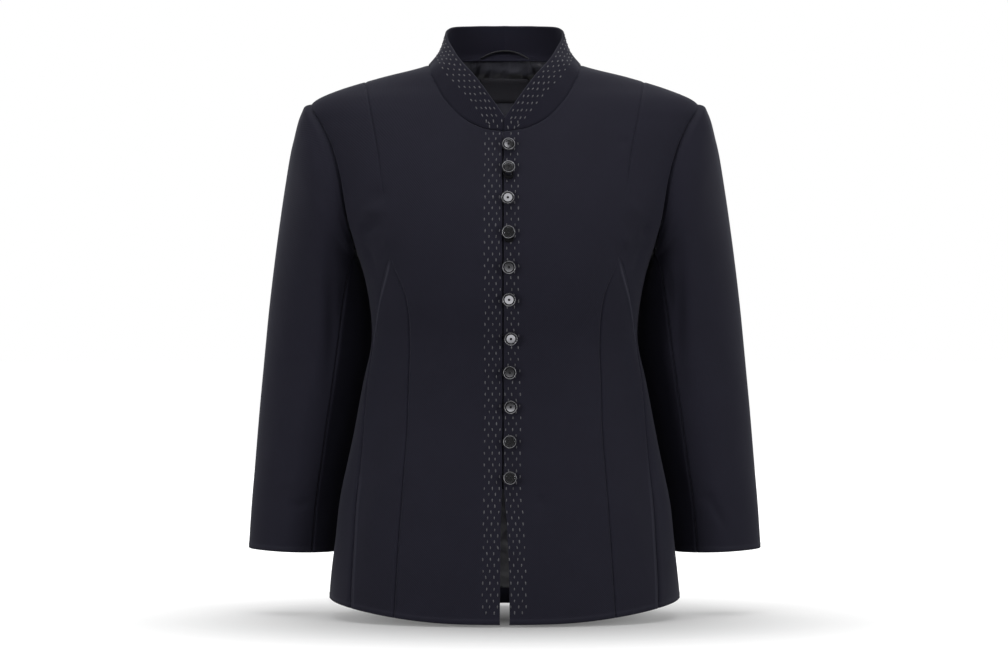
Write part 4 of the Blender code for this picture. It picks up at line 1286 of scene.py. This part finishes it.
label = {
    "thick": 0.0004, "top": -0.006, "bottom": -0.033, "half": 0.028, "press": 0.0011, "seam": 0.005,
    "rows": 30, "columns": 60, "ease": 0.6,
}
heights = between(label["bottom"], label["top"], eased(label["rows"], label["ease"]))[:, None]
reach = np.arcsin(label["half"] / torsoAt("back", heights))
chart = chartOf(math.pi + reach * (eased(label["columns"], label["ease"]) * 2 - 1)[None], heights)


# patch pressed against the lining along its edges: the gap closes over the last few millimetres
def labelEdges(angle, height):
    sides = label["half"] - np.abs(np.sin(angle)) * torsoAt("back", height)
    inside = np.minimum(sides, np.minimum(height - label["bottom"], label["top"] - height))
    return label["press"] * (1 - clamped(inside / label["seam"])) ** 2


inside -= cut["liningCloth"] + cut["labelGap"]
panel = bodyPanel("neckPatchCloth", [chart], 1, label["thick"], inside, grooved=False, extra=labelEdges)
addSheet("label", panel, patchCloth, "label", "neck_label")
print("lining and patch made")


# quads of closed rings, one after another
def ringQuads(rows, sides):
    index = np.arange(rows * sides).reshape(rows, sides)
    following = np.roll(index, -1, axis=1)
    return np.stack([index[:-1], following[:-1], following[1:], index[1:]], -1).reshape(-1, 4)


# tube of ten sides along a path: a ring at each point, turned so that it stays square to the path
def tubeOf(path, radius, sides=10):
    path = np.asarray(path, float)
    ahead = unitOf(np.gradient(path, axis=0))
    guide = np.cross(ahead[0], [0.37, 0.21, 0.91])  # any direction that no path starts along
    across = np.empty_like(path)
    for i in range(len(path)):  # carries the ring's direction on from point to point of the path
        guide = unitOf(guide - ahead[i] * (guide @ ahead[i]))
        across[i] = guide
    beside = np.cross(ahead, across)
    turn = np.linspace(0, 2 * math.pi, sides, endpoint=False)[None, :, None]
    radius = np.broadcast_to(radius, (len(path),))[:, None, None]
    ring = across[:, None] * np.cos(turn) + beside[:, None] * np.sin(turn)
    points = (path[:, None] + ring * radius).reshape(-1, 3)
    caps = np.array([[0, i + 3, i + 2, i + 1] for i in range(0, sides - 2, 2)])
    ends = [caps, caps[:, ::-1] + (len(path) - 1) * sides]
    return points, np.concatenate([ringQuads(len(path), sides), *ends])


# several sets of points and quads as one
def joinedOf(parts):
    points, quads, first = [], [], 0
    for some, faces in parts:
        points.append(some)
        quads.append(faces + first)
        first += len(some)
    return np.concatenate(points), np.concatenate(quads)


hanger = {"radius": 0.0009, "gap": 0.001, "span": 24.0, "low": 0.06, "high": 0.3, "steps": 60}
share = np.linspace(-1, 1, hanger["steps"])
angle = math.pi - np.radians(hanger["span"]) * np.abs(share)
rise = between(hanger["low"], hanger["high"], 1 - share**2)
depth = cut["collarCloth"] + hanger["gap"] + hanger["radius"]
path = collarPoint(angle, rise) - depth * outwardOf(collarPoint, angle, rise)
path[:, 0] = np.abs(path[:, 0]) * np.sign(share)
mesh = meshOf("hangerLoopCord", *tubeOf(path, hanger["radius"]))
addPiece(mesh, [darkCord], "cord", "hanger_loop")

# each button's height, distance across, nod and turn in degrees, and how far its loop's knot droops
buttonRows = tableOf(
    "number height across nod turn droop",
    (1, -0.0953, 0.0038, 3.6, 4.0, 0.0),
    (2, -0.1204, 0.0038, -3.0, 3.0, 0.0075),
    (3, -0.1534, 0.0034, 0.0, -1.0, 0.0),
    (4, -0.1892, 0.0042, 3.0, -3.0, 0.0055),
    (5, -0.2253, 0.0042, 5.0, 2.0, 0.0),
    (6, -0.259, 0.0046, 1.0, -1.0, 0.0),
    (7, -0.3001, 0.0062, 1.0, 3.0, 0.0),
    (8, -0.3367, 0.005, -4.0, 2.0, 0.0),
    (9, -0.3733, 0.006, 4.0, 3.0, 0.0),
    (10, -0.4108, 0.0054, -3.0, -2.0, 0.0),
    (11, -0.4488, 0.0054, -2.0, 2.0, 0.0),
)
buttons = {"lift": 0.0009, "sides": 48}
# half section of a button from the middle out and down; finish 0 is the polished face, 1 dark and 2 the rim
buttonSection = tableOf(
    "step radius height finish",
    (0, 0.0, 0.0047, 1), (1, 0.0008, 0.0047, 1), (2, 0.0011, 0.00505, 1), (3, 0.00125, 0.00516, 1),
    (4, 0.00138, 0.00516, 0), (5, 0.002, 0.00515, 0), (6, 0.0032, 0.00513, 0), (7, 0.0041, 0.00511, 0),
    (8, 0.0046, 0.00509, 0), (9, 0.00472, 0.005085, 1), (10, 0.005, 0.0048, 1), (11, 0.0052, 0.0044, 1),
    (12, 0.0058, 0.0043, 1), (13, 0.00602, 0.0045, 2), (14, 0.00616, 0.0051, 2), (15, 0.00638, 0.00545, 2),
    (16, 0.0067, 0.0055, 1), (17, 0.00712, 0.0051, 1), (18, 0.0073, 0.0045, 1), (19, 0.0071, 0.0035, 1),
    (20, 0.0064, 0.0029, 1), (21, 0.005, 0.0026, 1), (22, 0.0017, 0.0026, 1), (23, 0.0016, 0.0024, 1),
    (24, 0.0016, 0.0, 1),
)


# seat of a button: its point on the left front and the directions across, up and out
def seatOf(height, across):
    angle, height = frontAngle(across, height), np.array(height)
    out = outwardOf(torsoPoint, angle, height)
    sideways = unitOf(np.array([1.0, 0, 0]) - out * out[0])
    return torsoPoint(angle, height), sideways, np.cross(out, sideways), out


# turned form: each point of the section swept round its axis
def turnedOf(section, sides):
    turn = np.linspace(0, 2 * math.pi, sides, endpoint=False)
    radius, height = section[:, :1], section[:, 1:]
    points = np.stack([radius * np.cos(turn), radius * np.sin(turn), height + 0 * turn], -1)
    return points.reshape(-1, 3), np.roll(ringQuads(len(section), sides)[:, ::-1], 1, axis=1)


section = np.stack([buttonSection["radius"], buttonSection["height"]], -1)
finish = np.repeat(buttonSection["finish"][:-1], buttons["sides"]).astype(np.int32)
points, quads = turnedOf(section, buttons["sides"])
for number, height, across, nod, turn, _ in zip(*buttonRows.values()):
    seat, sideways, upward, out = seatOf(height, across)
    a, b = math.radians(nod), math.radians(turn)
    tip = np.array([[1, 0, 0], [0, math.cos(a), -math.sin(a)], [0, math.sin(a), math.cos(a)]])
    roll = np.array([[math.cos(b), 0, math.sin(b)], [0, 1, 0], [-math.sin(b), 0, math.cos(b)]])
    turned = points @ (np.stack([sideways, upward, out], 1) @ tip @ roll).T
    mesh = meshOf("button%02d" % number, turned + seat + out * buttons["lift"], quads)
    mesh.polygons.foreach_set("material_index", finish)
    addPiece(mesh, [buttonFace, darkCord, buttonRim], "button", "button_%02d" % number)

# loops and the tape behind the edge; sag is the way of a drooping loop: across, share of the droop and out
loops = {
    "radius": 0.0007, "half": 0.0028, "lift": 0.0013, "knot": 0.001, "bendPoints": 6, "points": 48,
    "sag": ((0.0042, 0.5, 0.0018), (0.0034, 1, 0.0024), (-0.003, 1, 0.0028), (-0.004, 0.5, 0.0022)),
    "tape": 0.011, "tapeThick": 0.001, "tapeGap": 0.0009, "tapeHeights": (-0.46, -0.085),
    "tapeRows": 160, "tapeColumns": 9,
}


# middle of the slit between the two fronts, as the mean of their edges
def slitAt(height):
    return (readColumn(centreEdges, "right", height) + readColumn(centreEdges, "left", height)) / 2


# loop of a button: out through the slit, round the shank and back
def loopPath(seat, sideways, upward, out, slit, droop):
    half, lift = loops["half"], loops["lift"]
    inside = -(cut["bodyCloth"] + loops["tapeGap"] + loops["tapeThick"] / 2)
    start = slit - seat[0]
    leg = np.array([(start, half, inside), (start, half, 0.0), (start + loops["radius"], half, lift)])
    turn = np.radians(np.linspace(90, -90, loops["bendPoints"]))
    bend = np.stack([half * np.cos(turn), half * np.sin(turn), lift + 0 * turn], -1)
    low = -half - droop
    sag = np.array(loops["sag"]) * [1, low, 1] if droop else np.empty((0, 3))
    path = finer(np.concatenate([leg, bend, sag, leg[::-1] * [1, -1, 1]]), loops["points"])
    hanging = clamped((path[:, 1] - low / 2) / (low / 2)) if droop else 0.0
    radius = loops["radius"] + loops["knot"] * hanging
    return seat + path[:, :1] * sideways + path[:, 1:2] * upward + path[:, 2:] * out, radius


heights = np.linspace(*loops["tapeHeights"], loops["tapeRows"])[:, None]
columns = np.linspace(loops["radius"] - loops["tape"], loops["radius"], loops["tapeColumns"])
chart = chartOf(frontAngle(slitAt(heights) + columns[None], heights), heights)
inside = -cut["bodyCloth"] - loops["tapeGap"]
panel = bodyPanel("loopTapeCloth", [chart], 1, loops["tapeThick"], inside, grooved=False)
addSheet("loopTape", panel, loopCord, "cord", "button_loops")
parts = []
for height, across, droop in zip(buttonRows["height"], buttonRows["across"], buttonRows["droop"]):
    parts.append(tubeOf(*loopPath(*seatOf(height, across), slitAt(height), droop)))
addPiece(meshOf("buttonLoopCords", *joinedOf(parts)), [loopCord], "cord", "button_loops")
print("buttons and loops made")

# cut cloth that shows: flat width and length, how it is held and what it hangs from or lies on
cuts = {
    "Front": ((0.24, 0.62), "hung", ["back"]),
    "SideFront": ((0.09, 0.42), "hung", ["front_right", "front_left"]),
    "back": ((0.545, 0.635), "hung", []),
    "UpperSleeve": ((0.265, 0.52), "hung", ["front_right", "front_left", "back"]),
    "UnderSleeve": ((0.125, 0.385), "hung", ["upper_sleeve_right", "upper_sleeve_left"]),
    "collar": ((0.43, 0.055), "stretched", ["front_right", "front_left", "back"]),
    "lining": ((0.53, 0.62), "hung", ["back"]),
    "label": ((0.06, 0.034), "laid", ["back_lining"]),
    "loopTape": ((0.012, 0.39), "laid", ["front_right"]),
}
for name, (piece, area) in sheets.items():
    word = next((w for w in sideSigns if name.startswith(w)), "")
    other = {"right": "left", "left": "right", "": "none"}[word]
    flat, held, rests = cuts[name[len(word):]]
    rests = [node for node in rests if not node.endswith(other)]
    print("sheet", name, "flat", flat, "area %.4f" % area, "share %.2f" % (area / flat[0] / flat[1]))

# floor; the glow seen by the camera rises away from the hem's oval, which paints a shadow round the hem, and
# the glow seen only in reflections is a patch ahead, a painted reflection; each given by half width, half
# depth and distance ahead, then by the distances and strengths where it starts and ends
stage = {
    "floor": -0.6055, "floorColour": (0.465, 0.465, 0.465), "roughness": 0.9, "specular": 0.1,
    "radius": 30, "rings": 12, "sides": 96,
    "oval": (0.195, 0.125, 0.045), "paintedGlow": (-0.65, 4.2, 0.0, 1.0),
    "patch": (0.6, 0.55, 1.3), "paintedReflection": (0.7, 1.1, 1.0, 0.0),
}
whiteLight = (1, 1, 1, 1)


# wide floor disc just under the hem; it is lit and shadowed by the lamps, and away from the hem's oval it
# glows up to the white of the background, which paints the shadow round the hem darker and tighter than the
# lamps cast it
def floorPiece():
    radius = np.linspace(0, 1, stage["rings"]) ** 2 * stage["radius"]
    points, quads = turnedOf(np.stack([radius, stage["floor"] + 0 * radius], 1), stage["sides"])
    mesh = meshOf("floor", points, quads[:, ::-1])
    material, tree, shader = materialOf(
        "paleFloor", stage["floorColour"], stage["roughness"], Specular_IOR_Level=stage["specular"],
        Emission_Color=whiteLight,
    )
    place, shown = placeOf(tree), []
    seen = nodeOf(tree, "LightPath")  # the glow is seen and mirrored, but lights nothing
    # painted light: the camera's glow paints the hem's shadow, and the glow in reflections is a painted
    # reflection
    for ray, form, limits in (("Is Camera Ray", "oval", "paintedGlow"), ("Is Glossy Ray", "patch", "paintedReflection")):
        wide, deep, ahead = stage[form]
        spread = {"Vector": place, "Scale": (1 / wide, 1 / deep, 0), "Location": (0, ahead / deep, 0)}
        spot = nodeOf(tree, "Mapping", spread).outputs["Vector"]
        reach = nodeOf(tree, "VectorMath", {0: spot}, operation="LENGTH").outputs["Value"]
        limits = dict(zip(("From Min", "From Max", "To Min", "To Max"), stage[limits]))
        paintedGlow = nodeOf(tree, "MapRange", {"Value": reach, **limits}, interpolation_type="SMOOTHSTEP")
        shown.append(mathOf(tree, "MULTIPLY", paintedGlow.outputs["Result"], seen.outputs[ray]))
    wire(tree, shader, {"Emission Strength": mathOf(tree, "ADD", *shown)})
    mesh.materials.append(material)
    floor = bpy.data.objects.new("floor", mesh)
    bpy.context.scene.collection.objects.link(floor)


# lamp at a place, turned so that its own downward direction faces a point
def aimed(name, light, place, target):
    lamp = bpy.data.objects.new(name, light)
    lamp.location = place
    way = np.array(target, float) - np.array(place, float)
    tilt, turn = math.acos(-way[2] / np.linalg.norm(way)), math.atan2(way[1], way[0])
    lamp.rotation_euler = (tilt, 0, turn - math.pi / 2)
    lamp.visible_camera = False
    bpy.context.scene.collection.objects.link(lamp)


# soft light: a flat panel of a size and brightness at a place, facing a point
def panelLight(name, place, target, width, height, radiance):
    light = bpy.data.lights.new(name, "AREA")
    light.shape = "RECTANGLE"
    light.size, light.size_y = width, height
    light.energy = radiance * width * height * math.pi
    aimed(name, light, place, target)


# narrow soft spot that reaches into the neck
def spotLight(name, place, target, power, cone, blend, size):
    light = bpy.data.lights.new(name, "SPOT")
    light.energy, light.spot_size = power, math.radians(cone)
    light.spot_blend, light.shadow_soft_size = blend, size
    aimed(name, light, place, target)


# place, point faced, width, height and brightness of each panel
lights = {
    "leftFront": ((-1.9, -1.835, 0.15), (0, 0, -0.28), 0.9, 0.9, 9.6),
    "rightFront": ((2.081, -1.626, 0.15), (0, 0, -0.28), 0.9, 0.9, 9.8),
    "leftSide": ((-2.29, 1.32, 0.15), (0, 0, -0.28), 0.9, 0.9, 3.2),
    "rightSide": ((2.29, 1.32, 0.15), (0, 0, -0.28), 0.9, 0.9, 3.2),
    "top": ((0, 0.3, 2.4), (0, 0.3, 0), 3.4, 3.0, 1.8),
    "topFront": ((0, -0.9, 2.4), (0, -0.3, 0), 3.0, 1.0, 1.2),
    "behind": ((0, 3.2, 0.3), (0, 0, -0.2), 5.0, 3.0, 1.2),
    "crown": ((0, -1.95, 1.45), (0, -0.1, -0.15), 0.6, 0.55, 1.3),
    "bounce": ((0, 0, -0.603), (0, 0, 0), 0.16, 0.26, 0.7),
}
ambientLight = 0.02
neckSpot = {
    "place": (0, -1.664, 1.335), "target": (0, 0.07, -0.03), "power": 190, "cone": 2.7,
    "blend": 0.6, "size": 0.02,
}
floorPiece()
for name, values in lights.items():
    panelLight(name, *values)
spotLight("neckSpot", **neckSpot)
world = bpy.data.worlds.new("studio")
world.use_nodes = True
tree = world.node_tree
ambient = wire(tree, tree.nodes["Background"], {"Strength": ambientLight, "Color": whiteLight})
white = nodeOf(tree, "Background", {"Strength": 1.0, "Color": whiteLight})
seen = nodeOf(tree, "LightPath").outputs["Is Camera Ray"]
ways = {"Fac": seen, 1: ambient.outputs["Background"], 2: white.outputs["Background"]}
mixed = nodeOf(tree, "MixShader", ways)
wire(tree, tree.nodes["World Output"], {"Surface": mixed.outputs["Shader"]})
scene = bpy.context.scene
scene.world = world
scene.view_settings.view_transform = "Standard"
scene.view_settings.look = "None"

view = {"lens": 97.4, "sensor": 36.0, "place": (-0.0008, -3.0, -0.298)}
cameraData = bpy.data.cameras.new("camera")
cameraData.lens, cameraData.sensor_width = view["lens"], view["sensor"]
camera = bpy.data.objects.new("camera", cameraData)
camera.location = view["place"]
camera.rotation_euler = (math.pi / 2, 0, 0)
scene.collection.objects.link(camera)
scene.camera = camera
print("stage, lights and camera made")
